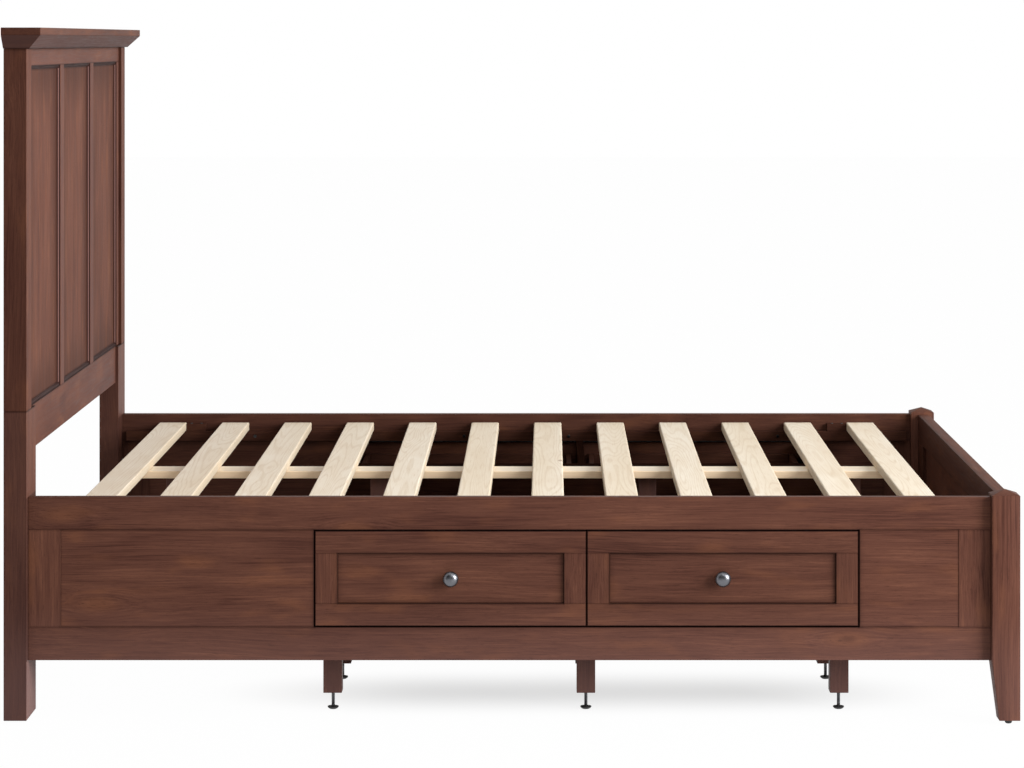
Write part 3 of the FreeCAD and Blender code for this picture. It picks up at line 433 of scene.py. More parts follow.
@mask_group
def return_shade(tree, spot):
    """Painted shade on the end pieces, which are darker than along the front."""
    return sum_up(tree, "MULTIPLY", masked(tree, crown_returns, spot), 0.38)


@mask_group
def cap_ends(tree, spot):
    """Painted shade on the cap's ends, which are darker than its front."""
    off = sum_up(tree, "ABSOLUTE", axes_of(tree, spot)[1])
    return between(tree, off, cap_end - EDGE_FROM, cap_end - EDGE_TO, 0.0, 0.46)


finish(stained_wood("crown_wood", "Y", (0.5, 0.4, 0.7), cross=("X", crown_returns), joints=(crown_shadow_line,),
                    shade=0.55, knots=0.0, darker=return_shade, gloss=0.022, high_sheen=0.20),
       "crown_mouldings", "crown_core")
finish(stained_wood("cap_wood", "Y", (0.9, 0.3, 0.4), joints=(crown_shadow_line,), shade=0.94, knots=0.0,
                    darker=cap_ends, gloss=0.03), "cap_board")

# Footboard
# Two square posts with tapered feet and shallow pyramid tops, their edges sanded round, and between
# them a frame of rails and stiles round one flat recessed panel, all stained as the headboard is.


def sanded(node, width):
    """A copy of a CAD node whose longer sharp edges are rounded over."""
    least_angle, least_length = 0.35, 0.012
    shape = bmesh.new()
    shape.from_mesh(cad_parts[node].data)
    bmesh.ops.remove_doubles(shape, verts=shape.verts, dist=1e-6)
    bmesh.ops.dissolve_limit(shape, angle_limit=0.002, verts=shape.verts, edges=shape.edges)
    edges = [edge for edge in shape.edges if len(edge.link_faces) == 2
             and edge.calc_face_angle() > least_angle and edge.calc_length() > least_length]
    bmesh.ops.bevel(shape, geom=edges, offset=width, segments=2, profile=0.5, affect="EDGES", material=-1,
                    clamp_overlap=True)
    return shape


POST_ROUND = 0.0012
foot_posts = keep("foot_posts", sanded("footboard_posts", POST_ROUND),
                  stained_wood("foot_post_wood", "Z", (0.3, 0.5, 0.2), shade=0.93, knots=0.3, gloss=0.05,
                               low_sheen=0.12))
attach(foot_posts, "bed_frame")
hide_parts("footboard_posts")
foot_panel_low, foot_panel_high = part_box("footboard_panel")
foot_middle = (foot_panel_low + foot_panel_high) / 2
foot_half = (foot_panel_high - foot_panel_low) / 2
foot_glaze = [((0.0, 0.0, foot_middle.z), (ANYWHERE, foot_half.y, foot_half.z), 0.008, 0.35)]
foot_rail_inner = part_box("footboard_rails")[0].x


@mask_group
def footboard_inside(tree, spot):
    """Painted shade on the footboard's faces towards the slats."""
    return between(tree, axes_of(tree, spot)[0], foot_rail_inner + 0.001, foot_middle.x, 0.42, 0.0)


foot_look = {"joints": foot_glaze, "darker": footboard_inside, "gloss": 0.02}
finish(stained_wood("foot_rail_wood", "Y", (0.2, 0.7, 0.6), **foot_look), "footboard_rails")
finish(stained_wood("foot_stile_wood", "Z", (0.6, 0.1, 0.8), **foot_look), "footboard_stiles")
finish(stained_wood("foot_panel_wood", "Y", (0.5, 0.3, 0.1), **foot_look), "footboard_panel")

# Side frames
# Long rails with end stiles and thin panels between them, tenoned and glued; the middle is left
# open for two drawers. Glaze lies in the joints, and painted shade darkens the edge of the opening,
# black along the drawer gap.
rail_low, rail_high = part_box("side_rails")
panel_low, panel_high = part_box("side_panels")
DRAWER_GAP, INNER_DEPTH = 0.0024, 0.0185
opening_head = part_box("right_head_drawer_front")[0].x - DRAWER_GAP
opening_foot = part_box("right_foot_drawer_front")[1].x + DRAWER_GAP
panel_middle = (panel_low.z + panel_high.z) / 2
panel_half = (panel_high.z - panel_low.z) / 2


def upright_dark_line(start, end, width, depth):
    """A dark line along the edges of a rectangle of the side frames."""
    return ((start + end) / 2, 0.0, panel_middle), ((end - start) / 2, ANYWHERE, panel_half), width, depth


side_dark_lines = [upright_dark_line(*joint) for joint in (
    (rail_low.x, opening_head, 0.005, 0.20),
    (panel_low.x, opening_head, 0.005, 0.20),
    (opening_foot, panel_high.x, 0.005, 0.20),
    (opening_foot, rail_high.x, 0.005, 0.20),
    # Painted shade: a black line in the drawer gap and a soft band round the opening.
    (opening_head, opening_foot, 0.0022, 0.95),
    (opening_head, opening_foot, 0.012, 0.20),
)]


@mask_group
def inner_faces(tree, spot):
    """Painted shade on the side frames' faces towards the slats."""
    off = sum_up(tree, "ABSOLUTE", axes_of(tree, spot)[1])
    return sum_up(tree, "MULTIPLY", sum_up(tree, "LESS_THAN", off, rail_high.y - INNER_DEPTH), 0.27)


side_look = {"joints": side_dark_lines, "darker": inner_faces}
finish(stained_wood("side_rail_wood", "X", (0.1, 0.2, 0.3), shade=0.84, **side_look), "side_rails")
finish(stained_wood("side_stile_wood", "Z", (0.35, 0.9, 0.55), shade=0.89, knots=0.4, **side_look),
       "side_stiles")
finish(stained_wood("side_panel_wood", "X", (0.5, 0.6, 0.9), shade=0.86, **side_look), "side_panels")

# Bed bolts and barrel nuts
# Zinc-plated steel bolts with sunk socket heads run through the posts into barrel nuts in the rails.
# They draw the joints tight from outside, so that headboard, footboard and sides come apart again.


def plated_steel(name, grain, light=1.0):
    """Zinc-plated steel with a fine drawn texture and dull cloudy patches."""
    made, tree, shader, spot = new_finish(name)
    turned = add(tree, "ShaderNodeMapping", {"Vector": spot, "Rotation": GRAIN_TURN[grain]}).outputs[0]
    lines = noise(tree, stretched(tree, turned, 20.0, 1800.0), 3.0)
    cloud = noise(tree, stretched(tree, turned, 60.0, 60.0), 3.0)
    dull = (0.42 * light, 0.43 * light, 0.45 * light, 1)
    bright = (0.66 * light, 0.67 * light, 0.68 * light, 1)
    rough = between(tree, sum_up(tree, "ADD", lines, cloud), 0.7, 1.3, 0.28, 0.48)
    lay_on(tree, shader, tinted(tree, cloud, dull, bright), rough, lines, 0.08, 0.0002)
    shader.inputs["Metallic"].default_value = 1.0
    return made


def hex_socket(angle, size):
    """How far a hexagonal socket's wall lies from its middle in a direction."""
    return size / math.cos(angle % (math.pi / 3) - math.pi / 6)


def cross_recess(angle, size):
    """How far the outline of a cross recess lies from its middle in a direction."""
    run = max(abs(math.cos(angle)), 0.001)
    rise = max(abs(math.sin(angle)), 0.001)
    return max(min(size / run, size / 3 / rise), min(size / 3 / run, size / rise))


def set_along(shape, old, seat, axis):
    """Moves what was added to a shape since its old corners from the origin and Z to a seat and an axis."""
    turn = Vector((0.0, 0.0, 1.0)).rotation_difference(Vector(axis)).to_matrix().to_4x4()
    bmesh.ops.transform(shape, verts=[vert for vert in shape.verts if vert not in old],
                        matrix=Matrix.Translation(seat) @ turn)


def screw_head(shape, seat, axis, radius, height, recess, size, depth):
    """A head that stands on its seat along an axis, rounded over, with a recess for the tool."""
    old = set(shape.verts)

    def top_face():
        faces = {face for vert in shape.verts if vert not in old for face in vert.link_faces}
        return max(faces, key=lambda face: face.calc_center_median().z)

    bmesh.ops.create_cone(shape, cap_ends=True, segments=24, radius1=radius, radius2=radius, depth=height,
                          matrix=Matrix.Translation((0.0, 0.0, height / 2)))
    bmesh.ops.bevel(shape, geom=list(top_face().edges), offset=min(radius, height) * 0.3, segments=2,
                    profile=0.5, affect="EDGES", material=-1)
    top = top_face()
    bmesh.ops.inset_region(shape, faces=[top], thickness=radius * 0.2)
    for vert in top.verts:
        angle = math.atan2(vert.co.y, vert.co.x)
        vert.co.x = recess(angle, size) * math.cos(angle)
        vert.co.y = recess(angle, size) * math.sin(angle)
    sunk = bmesh.ops.extrude_discrete_faces(shape, faces=[top])["faces"][0]
    bmesh.ops.translate(shape, verts=list(sunk.verts), vec=(0.0, 0.0, -depth))
    set_along(shape, old, seat, axis)


def plain_rod(shape, seat, axis, radius, length):
    """A round bar from its seat along an axis."""
    old = set(shape.verts)
    bmesh.ops.create_cone(shape, cap_ends=True, segments=24, radius1=radius, radius2=radius, depth=length,
                          matrix=Matrix.Translation((0.0, 0.0, length / 2)))
    set_along(shape, old, seat, axis)


bolt_zinc = plated_steel("bolt_zinc", "X")
bolts_low, bolts_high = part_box("bed_bolts")
nuts_low, nuts_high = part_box("barrel_nuts")
BOLT_RADIUS, NUT_RADIUS = 0.004, 0.006
BOLT_LENGTHS = {-1.0: 0.092, 1.0: 0.102}
HEAD_RADIUS, HEAD_HEIGHT, SOCKET_HALF, SOCKET_DEPTH = 0.008, 0.005, 0.003, 0.0035
shape = bmesh.new()
for side in (-1, 1):
    y = side * (bolts_high.y - HEAD_RADIUS)
    for z in (nuts_low.z + NUT_RADIUS, nuts_high.z - NUT_RADIUS):
        for end, way in ((bolts_low.x, -1.0), (bolts_high.x, 1.0)):
            seat = (end - way * HEAD_HEIGHT, y, z)
            screw_head(shape, seat, (way, 0.0, 0.0), HEAD_RADIUS, HEAD_HEIGHT, hex_socket, SOCKET_HALF,
                       SOCKET_DEPTH)
            plain_rod(shape, seat, (-way, 0.0, 0.0), BOLT_RADIUS, BOLT_LENGTHS[way])
bmesh.ops.recalc_face_normals(shape, faces=shape.faces)
socket_bolts = keep("socket_bolts", shape, bolt_zinc)
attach(socket_bolts, "bed_frame")
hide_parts("bed_bolts")
finish(bolt_zinc, "barrel_nuts")

# Ledgers and stop blocks
# Hardwood strips screwed inside the side frames carry the slats' ends, with small blocks that stop
# the first and last slat from shifting. The screws are blackened steel with cross recesses.
# The ledgers and blocks are painted dark as shade under the slats.
finish(stained_wood("ledger_wood", "X", (0.3, 0.8, 0.4), shade=0.5, gloss=0.02),
       "slat_ledgers", "slat_stop_blocks")
ledger_low, ledger_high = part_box("slat_ledgers")
block_low, block_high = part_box("slat_stop_blocks")
LEDGER_WIDTH, BLOCK_LENGTH = 0.018, 0.048
LEDGER_SCREWS, LEDGER_END = 8, 0.06
# A kind of screw is its head's radius and height, then its recess with its size and depth.
LEDGER_SCREW = (0.0038, 0.0016, cross_recess, 0.0020, 0.0009)
BLOCK_SCREW = (0.0036, 0.0012, cross_recess, 0.0019, 0.0008)
ledger_middle = (ledger_low.z + ledger_high.z) / 2
screw_pitch = (ledger_high.x - ledger_low.x - 2 * LEDGER_END) / (LEDGER_SCREWS - 1)
shape = bmesh.new()
for side in (-1, 1):
    inner = side * (ledger_high.y - LEDGER_WIDTH)
    middle = side * (ledger_high.y - LEDGER_WIDTH / 2)
    for i in range(LEDGER_SCREWS):
        seat = (ledger_low.x + LEDGER_END + i * screw_pitch, inner, ledger_middle)
        screw_head(shape, seat, (0.0, -side, 0.0), *LEDGER_SCREW)
    for start in (block_low.x, block_high.x - BLOCK_LENGTH):
        for share in (0.25, 0.75):
            seat = (start + share * BLOCK_LENGTH, middle, block_high.z)
            screw_head(shape, seat, (0.0, 0.0, 1.0), *BLOCK_SCREW)
bmesh.ops.recalc_face_normals(shape, faces=shape.faces)
ledger_screws = keep("ledger_screws", shape, plated_steel("screw_black", "Z", 0.10))
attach(ledger_screws, "bed_frame")

# Slats and center support
# Twelve planed pine slats with rounded edges lie across the ledgers, and a flat pine board under
# their middle joins them to the center legs. The pine is bare, pale and fine in its grain.
PINE_DEEP, PINE_PALE, PINE_CLOUD = (0.87, 0.75, 0.58, 1), (0.93, 0.83, 0.68, 1), (0.78, 0.63, 0.45, 1)
PINE_RING, PINE_HAIR, PINE_KNOT = (0.64, 0.48, 0.30, 1), (0.60, 0.44, 0.27, 1), (0.36, 0.20, 0.10, 1)
RING_COUNT, RING_BEND = 210.0, 9.0
pine_grain, given, result = shader_group(
    "pine_grain",
    [("Vector", "NodeSocketVector", None)],
    [("Color", "NodeSocketColor"), ("Roughness", "NodeSocketFloat"), ("Height", "NodeSocketFloat")])
tree = pine_grain
spot = given["Vector"]
knot = add(tree, "ShaderNodeTexVoronoi", {"Vector": stretched(tree, spot, 2.6, 6.5), "Scale": 1.0}).outputs
knot_core = between(tree, knot["Distance"], 0.02, 0.055, 1.0, 0.0)
knot_pull = between(tree, knot["Distance"], 0.0, 0.35, 1.0, 0.0)
board_tone = noise(tree, stretched(tree, spot, 0.4, 9.0), 0.0)
cloud = noise(tree, stretched(tree, spot, 6.0, 22.0), 3.0)
rings = sum_up(tree, "MULTIPLY", noise(tree, stretched(tree, spot, 0.6, 12.0), 1.4, 0.4), RING_COUNT)
rings = sum_up(tree, "ADD", rings, sum_up(tree, "MULTIPLY", knot_pull, RING_BEND))
rings = between(tree, sum_up(tree, "SINE", rings), 0.2, 1.0)
hair = noise(tree, stretched(tree, spot, 14.0, 420.0), 4.0)
base = tinted(tree, between(tree, board_tone, 0.3, 0.7), PINE_DEEP, PINE_PALE)
base = layered(tree, base, ((between(tree, cloud, 0.35, 0.7), 0.30, PINE_CLOUD), (rings, 0.27, PINE_RING),
                            (between(tree, hair, 0.5, 0.8), 0.36, PINE_HAIR), (knot_core, 0.6, PINE_KNOT)))
tree.links.new(base, result["Color"])
tree.links.new(between(tree, hair, 0.2, 0.8, 0.55, 0.72), result["Roughness"])
tree.links.new(hair, result["Height"])


def bare_pine(name, grain, start, sides, side_colour):
    """Planed pine with its grain along one axis, and another tone, painted shade, where a mask has its
    sides.
    """
    made, tree, shader, spot = new_finish(name)
    turned = add(tree, "ShaderNodeMapping",
                 {"Vector": spot, "Rotation": GRAIN_TURN[grain], "Location": start}).outputs[0]
    pine = add(tree, "ShaderNodeGroup", {"Vector": turned}, node_tree=pine_grain).outputs
    colour = tinted(tree, masked(tree, sides, spot), pine["Color"], side_colour)
    lay_on(tree, shader, colour, pine["Roughness"], pine["Height"], 0.15, 0.0005)
    shader.inputs["Specular IOR Level"].default_value = 0.25
    return made


SLAT_COUNT, SLAT_WIDTH, SLAT_LEAD = 12, 0.067, 0.02
slats_low, slats_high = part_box("slats")
slat_pitch = (slats_high.x - slats_low.x - SLAT_WIDTH) / (SLAT_COUNT - 1)
support_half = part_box("center_support")[1].y


@mask_group
def slat_sides(tree, spot):
    """Painted shade on the slats' long sides, a little darker."""
    run = sum_up(tree, "SUBTRACT", axes_of(tree, spot)[0], slats_low.x - SLAT_LEAD)
    off = sum_up(tree, "SUBTRACT", sum_up(tree, "MODULO", run, slat_pitch), SLAT_LEAD + SLAT_WIDTH / 2)
    off = sum_up(tree, "ABSOLUTE", off)
    return between(tree, off, SLAT_WIDTH / 2 - EDGE_FROM, SLAT_WIDTH / 2 - EDGE_TO, 0.0, 0.45)


@mask_group
def support_sides(tree, spot):
    """Painted shade on the center board's two long sides, darker and warmer."""
    off = sum_up(tree, "ABSOLUTE", axes_of(tree, spot)[1])
    return between(tree, off, support_half - EDGE_FROM, support_half - EDGE_TO, 0.0, 0.68)


finish(bare_pine("slat_pine", "Y", (0.2, 0.3, 0.1), slat_sides, (0.55, 0.43, 0.29, 1)), "slats")
finish(bare_pine("support_pine", "X", (0.6, 0.5, 0.8), support_sides, (0.93, 0.67, 0.42, 1)),
       "center_support")

# Drawer cases
# Stained panels behind each side frame: two ends, a divider and a back, screwed under the ledger.
# They are painted nearly black and dull, as painted shade under the slats.
finish(stained_wood("case_wood", "Y", (0.2, 0.1, 0.6), shade=0.20, gloss=0.0), "case_panels")
finish(stained_wood("case_back_wood", "X", (0.7, 0.9, 0.2), shade=0.20, gloss=0.0), "case_backs")

# Support legs
# Square stained legs under the cases and the center board, with the grain upright. They are paler
# than the frame, with painted sheen on them all the way up.
finish(stained_wood("leg_wood", "Z", (0.4, 0.9, 0.3), shade=0.85, gloss=0.10, high_sheen=0.25, low_sheen=0.24),
       "support_legs")

# Glides
# A domed black plastic glide is nailed under each post and center leg. The dome slides on the floor,
# and the flange above it lies against the wood.


def moulded_black(name):
    """Black moulded plastic with a faint pebbled skin and scuffs."""
    made, tree, shader, spot = new_finish(name)
    pebble = noise(tree, stretched(tree, spot, 900.0, 900.0), 2.0)
    scuff = noise(tree, stretched(tree, spot, 70.0, 70.0), 4.0)
    colour = tinted(tree, scuff, (0.010, 0.010, 0.011, 1), (0.030, 0.029, 0.028, 1))
    lay_on(tree, shader, colour, between(tree, scuff, 0.3, 0.7, 0.42, 0.60), pebble, 0.10, 0.0003)
    return made


def turned_shape(shape, profile, seat, axis, steps):
    """A shape turned about an axis through its seat from (radius, height) points in millimetres."""
    old = set(shape.verts)
    corners = [shape.verts.new((radius / 1000, 0.0, height / 1000)) for radius, height in profile]
    edges = [shape.edges.new(pair) for pair in zip(corners[:-1], corners[1:])]
    bmesh.ops.spin(shape, geom=corners + edges, cent=(0.0, 0.0, 0.0), axis=(0.0, 0.0, 1.0),
                   angle=2 * math.pi, steps=steps, use_merge=True)
    bmesh.ops.remove_doubles(shape, verts=[vert for vert in shape.verts if vert not in old], dist=1e-6)
    for face in {face for vert in shape.verts if vert not in old for face in vert.link_faces}:
        face.smooth = True
    set_along(shape, old, seat, axis)


GLIDE_PROFILE = [(0.0, 0.0), (3.6, 0.2), (5.6, 0.9), (6.8, 2.2), (7.3, 4.0), (7.6, 6.2), (9.0, 6.6),
                 (9.0, 9.0), (0.0, 9.0)]
END_LEG_IN, INNER_LEGS = 0.121, (-0.304, 0.294)
HEAD_LEG_IN, FOOT_POST_IN = 0.058, 0.021
leg_low, leg_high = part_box("headboard_legs")
post_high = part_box("footboard_posts")[1]
center_low, center_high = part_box("center_support")
black_plastic = moulded_black("glide_plastic")
glide_places = [(x, 0.0) for x in (center_low.x + END_LEG_IN, center_high.x - END_LEG_IN, *INNER_LEGS)]
for side in (-1, 1):
    glide_places.append(((leg_low.x + leg_high.x) / 2, side * (leg_high.y - HEAD_LEG_IN)))
    glide_places.append((post_high.x - FOOT_POST_IN, side * (post_high.y - FOOT_POST_IN)))
shape = bmesh.new()
for x, y in glide_places:
    turned_shape(shape, GLIDE_PROFILE, (x, y, 0.0), (0.0, 0.0, 1.0), 32)
bmesh.ops.recalc_face_normals(shape, faces=shape.faces)
glides = keep("domed_glides", shape, black_plastic)
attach(glides, "bed_frame")
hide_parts("leg_glides")

# Leveling feet
# Each leg has a round black foot, bowl-shaped below, on a dark steel stud whose thread screws up
# and down in the leg.
FOOT_PROFILE = [(0.0, 0.0), (5.2, 0.0), (7.2, 0.5), (9.2, 1.7), (10.7, 3.1), (11.4, 4.5), (11.5, 5.3),
                (11.0, 5.8), (7.0, 6.1), (5.6, 6.5), (5.2, 7.3), (0.0, 7.5)]
STUD_RADIUS, STUD_ROOT, STUD_PITCH, STUD_STEPS, STUD_FOOT = 0.0035, 0.0031, 0.00125, 16, 0.007
foot_metal = plated_steel("stud_steel", "Z", 0.42)
for name in [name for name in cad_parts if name.endswith("_leveling_foot")]:
    low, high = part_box(name)
    middle = (low + high) / 2
    shape = bmesh.new()
    turned_shape(shape, FOOT_PROFILE, (middle.x, middle.y, low.z), (0.0, 0.0, 1.0), 32)
    bmesh.ops.recalc_face_normals(shape, faces=shape.faces)
    threads = bmesh.new()
    start = low.z + STUD_FOOT
    corners = [threads.verts.new((middle.x + radius, middle.y, start + share * STUD_PITCH))
               for radius, share in ((STUD_ROOT, 0.0), (STUD_RADIUS, 0.5), (STUD_ROOT, 1.0))]
    edges = [threads.edges.new(pair) for pair in zip(corners[:-1], corners[1:])]
    turns = int((high.z - start) / STUD_PITCH) - 1
    bmesh.ops.spin(threads, geom=corners + edges, cent=(middle.x, middle.y, 0.0), axis=(0.0, 0.0, 1.0),
                   dvec=(0.0, 0.0, STUD_PITCH / STUD_STEPS), angle=turns * 2 * math.pi,
                   steps=turns * STUD_STEPS)
    bmesh.ops.remove_doubles(threads, verts=threads.verts, dist=1e-6)
    bmesh.ops.holes_fill(threads, edges=[edge for edge in threads.edges if edge.is_boundary])
    bmesh.ops.recalc_face_normals(threads, faces=threads.faces)
    for piece in (keep(f"{name}_pad", shape, black_plastic), keep(f"{name}_stud", threads, foot_metal)):
        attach(piece, name)
        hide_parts(name)

# Drawer fronts
# Each front is a small frame of rails and stiles round a recessed flat panel, glued up and stained.
# The stiles' grain is upright between rails that run the full width.
FRONT_FRAME = 0.0445
# The foot drawers' fronts are a little darker than the head ones: painted shade against the stronger light
# at the foot end.
for end, shade in (("head", 0.82), ("foot", 0.77)):
    front_low, front_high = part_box(f"right_{end}_drawer_front")
    front_middle = (front_low + front_high) / 2
    front_half = (front_high - front_low) / 2

    @mask_group
    def front_stiles(tree, spot):
        """The two stiles, between the front's upper and lower rail."""
        axes = axes_of(tree, spot)
        side = sum_up(tree, "ABSOLUTE", sum_up(tree, "SUBTRACT", axes[0], front_middle.x))
        rise = sum_up(tree, "ABSOLUTE", sum_up(tree, "SUBTRACT", axes[2], front_middle.z))
        return sum_up(tree, "MULTIPLY", sum_up(tree, "GREATER_THAN", side, front_half.x - FRONT_FRAME),
                      sum_up(tree, "LESS_THAN", rise, front_half.z - FRONT_FRAME))

    middle = (front_middle.x, 0.0, front_middle.z)
    panel_edge = (front_half.x - FRONT_FRAME, ANYWHERE, front_half.z - FRONT_FRAME)
    stile_end = (ANYWHERE, ANYWHERE, front_half.z - FRONT_FRAME)
    outline = (front_half.x, ANYWHERE, front_half.z)
    # Painted shade: a dark line and a soft band round the recessed panel, and a black line round the front
    # at the gap; the line at the stiles' ends is glaze in the joint.
    front_dark_lines = ((middle, panel_edge, 0.003, 0.55), (middle, panel_edge, 0.016, 0.16),
                   (middle, stile_end, 0.004, 0.15), (middle, outline, 0.0022, 0.95))
    front_wood = stained_wood(f"{end}_drawer_front_wood", "X", (0.3, 0.4, 0.5), cross=("Z", front_stiles),
                              joints=front_dark_lines, shade=shade)
    finish(front_wood, f"left_{end}_drawer_front", f"right_{end}_drawer_front")

# Drawer boxes
# Plain stained boards, grooved for a thin bottom and nailed at the corners. A cross-recess screw with
# a washer inside each front holds the knob.
drawers = [f"{side}_{end}_drawer" for side in ("left", "right") for end in ("head", "foot")]
# The boards are stained dark, and darker still as painted shade inside the bed.
finish(stained_wood("drawer_box_board", "X", (0.9, 0.2, 0.7), shade=0.62),
       *(f"{drawer}_box" for drawer in drawers))
BOX_WALL, WASHER_RADIUS, WASHER_DEPTH = 0.012, 0.0065, 0.0010
KNOB_SCREW = (0.0042, 0.0024, cross_recess, 0.0022, 0.0012)
knob_screw_zinc = plated_steel("knob_screw_zinc", "Y", 0.85)
for drawer in drawers:
    box_low, box_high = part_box(f"{drawer}_box")
    knob_low, knob_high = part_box(f"{drawer}_knob")
    knob_middle = (knob_low + knob_high) / 2
    way = 1.0 if drawer.startswith("left") else -1.0
    inner = (box_high.y - BOX_WALL) if way > 0 else (box_low.y + BOX_WALL)
    shape = bmesh.new()
    inward = (0.0, -way, 0.0)
    plain_rod(shape, (knob_middle.x, inner, knob_middle.z), inward, WASHER_RADIUS, WASHER_DEPTH)
    screw_head(shape, (knob_middle.x, inner - way * WASHER_DEPTH, knob_middle.z), inward, *KNOB_SCREW)
    bmesh.ops.recalc_face_normals(shape, faces=shape.faces)
    knob_screw = keep(f"{drawer}_knob_screw", shape, knob_screw_zinc)
    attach(knob_screw, drawer)

# Knobs
# Turned metal knobs with a dark pewter finish, each held by a screw through the drawer front. A
# narrow neck joins the flat foot to the domed face.
KNOB_PROFILE = [(0.0, 0.0), (8.0, 0.0), (8.0, 1.3), (7.6, 1.9), (6.6, 2.3), (6.0, 3.0), (5.7, 4.6),
                (5.9, 6.6), (7.0, 8.2), (9.4, 9.2), (12.2, 10.2), (14.4, 11.6), (15.6, 13.2),
                (16.0, 14.9), (15.7, 16.9), (14.7, 19.0), (13.0, 21.2), (10.6, 23.3), (7.7, 24.8),
                (4.0, 25.7), (0.0, 26.0)]


def dark_pewter(name):
    """Dark cast metal, brushed lightly, with brighter rubbed patches."""
    made, tree, shader, spot = new_finish(name)
    cloud = noise(tree, stretched(tree, spot, 120.0, 120.0), 3.0)
    rubbed = noise(tree, stretched(tree, spot, 1500.0, 1500.0), 2.0)
    colour = tinted(tree, cloud, (0.13, 0.132, 0.145, 1), (0.22, 0.222, 0.240, 1))
    rough = between(tree, sum_up(tree, "ADD", cloud, rubbed), 0.7, 1.3, 0.28, 0.40)
    lay_on(tree, shader, colour, rough, rubbed, 0.05, 0.0002)
    shader.inputs["Metallic"].default_value = 1.0
    return made


knob_pewter = dark_pewter("knob_pewter")
for drawer in drawers:
    knob_low, knob_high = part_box(f"{drawer}_knob")
    knob_middle = (knob_low + knob_high) / 2
    way = 1.0 if drawer.startswith("left") else -1.0
    shape = bmesh.new()
    seat = (knob_middle.x, knob_low.y if way > 0 else knob_high.y, knob_middle.z)
    turned_shape(shape, KNOB_PROFILE, seat, (0.0, way, 0.0), 48)
    bmesh.ops.recalc_face_normals(shape, faces=shape.faces)
    knob = keep(f"{drawer}_turned_knob", shape, knob_pewter)
    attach(knob, drawer)
    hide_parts(f"{drawer}_knob")

# Slides
# Telescopic slides of rolled zinc-plated steel channel, one on each side of a drawer, folded round at
# their edges. Cross-recess screws hold the inner member to the box.
CHANNEL_ROUND, RUNNER_WEB, RUNNER_SCREWS = 0.0004, 0.0012, (0.10, 0.42, 0.90)
RUNNER_SCREW = (0.0040, 0.0018, cross_recess, 0.0021, 0.0010)
slide_zinc = plated_steel("slide_zinc", "Y")
for node, body in [("slide_case_members", "bed_frame"),
                   *((f"{drawer}_slide_middles", f"{drawer}_slide_middles") for drawer in drawers),
                   *((f"{drawer}_slide_runners", drawer) for drawer in drawers)]:
    rolled = keep(f"{node}_rolled", sanded(node, CHANNEL_ROUND), slide_zinc)
    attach(rolled, body)
    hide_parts(node)
for drawer in drawers:
    low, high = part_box(f"{drawer}_slide_runners")
    shape = bmesh.new()
    for x, way in ((high.x - RUNNER_WEB, -1.0), (low.x + RUNNER_WEB, 1.0)):
        for share in RUNNER_SCREWS:
            seat = (x, low.y + share * (high.y - low.y), (low.z + high.z) / 2)
            screw_head(shape, seat, (way, 0.0, 0.0), *RUNNER_SCREW)
    bmesh.ops.recalc_face_normals(shape, faces=shape.faces)
    runner_screws = keep(f"{drawer}_runner_screws", shape, knob_screw_zinc)
    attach(runner_screws, drawer)

# Floor and backdrop
# A pale studio floor that fades into a white backdrop and keeps the bed's soft shadow.
FLOOR_HALF = 30.0
SHADOW_MIDDLE, SHADOW_CORE, SHADOW_FADE = (0.15, 0.0, 0.0), (0.28, 0.41), (0.55, 0.26)


def looked_at(tree):
    """1 for rays that show a surface to the camera, straight, by a mirror or through glass."""
    rays = add(tree, "ShaderNodeLightPath", {}).outputs
    return sum_up(tree, "MAXIMUM", rays["Is Camera Ray"],
                  sum_up(tree, "MAXIMUM", rays["Is Glossy Ray"], rays["Is Transmission Ray"]))


floor_paint, tree, shader, spot = new_finish("floor_paint")
tree.nodes.remove(shader)
# Painted shadow: the white glow is weaker in an ellipse under the bed, so more of the real shadow shows
# there.
away = axes_of(tree, moved(tree, "ABSOLUTE", moved(tree, "SUBTRACT", spot, SHADOW_MIDDLE)))
along, across = (sum_up(tree, "DIVIDE", sum_up(tree, "SUBTRACT", off, core), fade)
                 for off, core, fade in zip(away, SHADOW_CORE, SHADOW_FADE))
reach = add(tree, "ShaderNodeCombineXYZ", {0: sum_up(tree, "MAXIMUM", along, 0.0), 1: across}).outputs[0]
reach = add(tree, "ShaderNodeVectorMath", {0: reach}, operation="LENGTH").outputs[1]
glow = sum_up(tree, "MULTIPLY", looked_at(tree), between(tree, reach, 0.0, 1.0, 0.70, 0.985))
matt = add(tree, "ShaderNodeBsdfDiffuse", {"Color": (0.82, 0.82, 0.82, 1)}).outputs[0]
white = add(tree, "ShaderNodeEmission", {"Color": (1, 1, 1, 1), "Strength": 1.0}).outputs[0]
mixed = add(tree, "ShaderNodeMixShader", {0: glow, 1: matt, 2: white}).outputs[0]
tree.links.new(mixed, tree.nodes["Material Output"].inputs["Surface"])
shape = bmesh.new()
bmesh.ops.create_grid(shape, x_segments=1, y_segments=1, size=FLOOR_HALF)
floor = keep("studio_floor", shape, floor_paint)

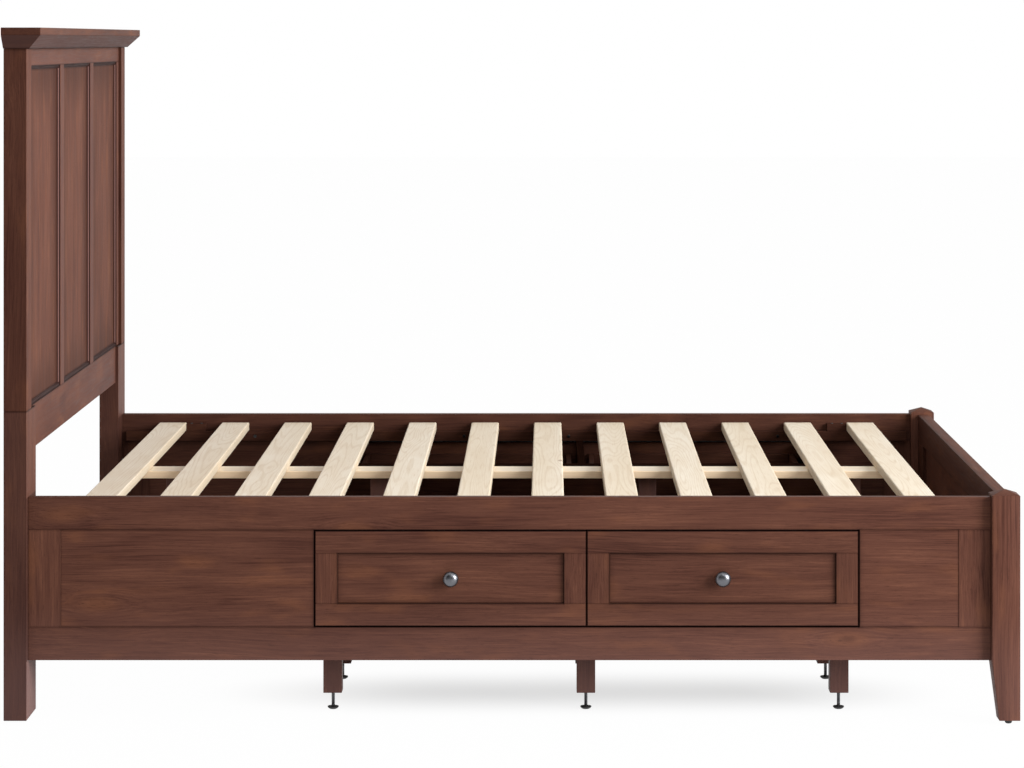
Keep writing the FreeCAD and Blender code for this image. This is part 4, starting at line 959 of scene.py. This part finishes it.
# A dark card stands far behind the camera, so that the knobs mirror a dark room above the floor.
CARD_MIDDLE, CARD_HALF = (0.0, -9.5, 8.3), (16.0, 8.0, 1.0, 1.0)
card_paint, tree, shader = new_finish("card_paint")[:3]
shader.inputs["Base Color"].default_value = (0.12, 0.12, 0.12, 1)
shader.inputs["Roughness"].default_value = 0.9
upright = Matrix.Rotation(math.radians(-90), 4, "X") @ Matrix.Diagonal(CARD_HALF)
shape = bmesh.new()
bmesh.ops.create_grid(shape, x_segments=1, y_segments=1, size=1.0,
                      matrix=Matrix.Translation(CARD_MIDDLE) @ upright)
card = keep("dark_card", shape, card_paint)
card.visible_camera = False
card.visible_diffuse = False
card.visible_shadow = False

# The room's own light is white where it is seen and half as strong where it only lights the bed.
world = bpy.data.worlds.new("studio")
bpy.context.scene.world = world
world.use_nodes = True
tree = world.node_tree
level = add(tree, "ShaderNodeMapRange", {"Value": looked_at(tree), "To Min": 0.50, "To Max": 1.0}).outputs[0]
tree.nodes["Background"].inputs["Color"].default_value = (1, 1, 1, 1)
tree.links.new(level, tree.nodes["Background"].inputs["Strength"])

# Light
# A large soft light stands past the foot end, in front of the bed, and a small weak one hangs above
# the front.


def soft_light(name, spot, target, size, power):
    """A square area light turned to a point."""
    lamp = bpy.data.lights.new(name, "AREA")
    lamp.size = size
    lamp.energy = power
    held = bpy.data.objects.new(name, lamp)
    bpy.context.scene.collection.objects.link(held)
    held.location = spot
    held.rotation_euler = (Vector(target) - Vector(spot)).to_track_quat("-Z", "Y").to_euler()


soft_light("foot_light", (5.2, -3.6, 2.6), (-0.5, -0.3, 0.75), 3.6, 600.0)
soft_light("front_light", (0.9, -3.1, 3.3), (0.2, -0.6, 0.35), 1.3, 16.0)

# Camera
# Level and square to the bed's side, above its middle, shifted down as a studio view camera is.
lens = bpy.data.cameras.new("camera")
lens.sensor_width = 36.0
lens.lens = 110.7
lens.shift_x = -0.0347
lens.shift_y = -0.3354
lens.clip_end = 200.0
camera = bpy.data.objects.new("camera", lens)
bpy.context.scene.collection.objects.link(camera)
camera.location = (0.0712, -7.0305, 1.370)
camera.rotation_euler = (math.radians(90), 0.0, 0.0)
bpy.context.scene.camera = camera
bpy.context.scene.view_settings.view_transform = "Standard"
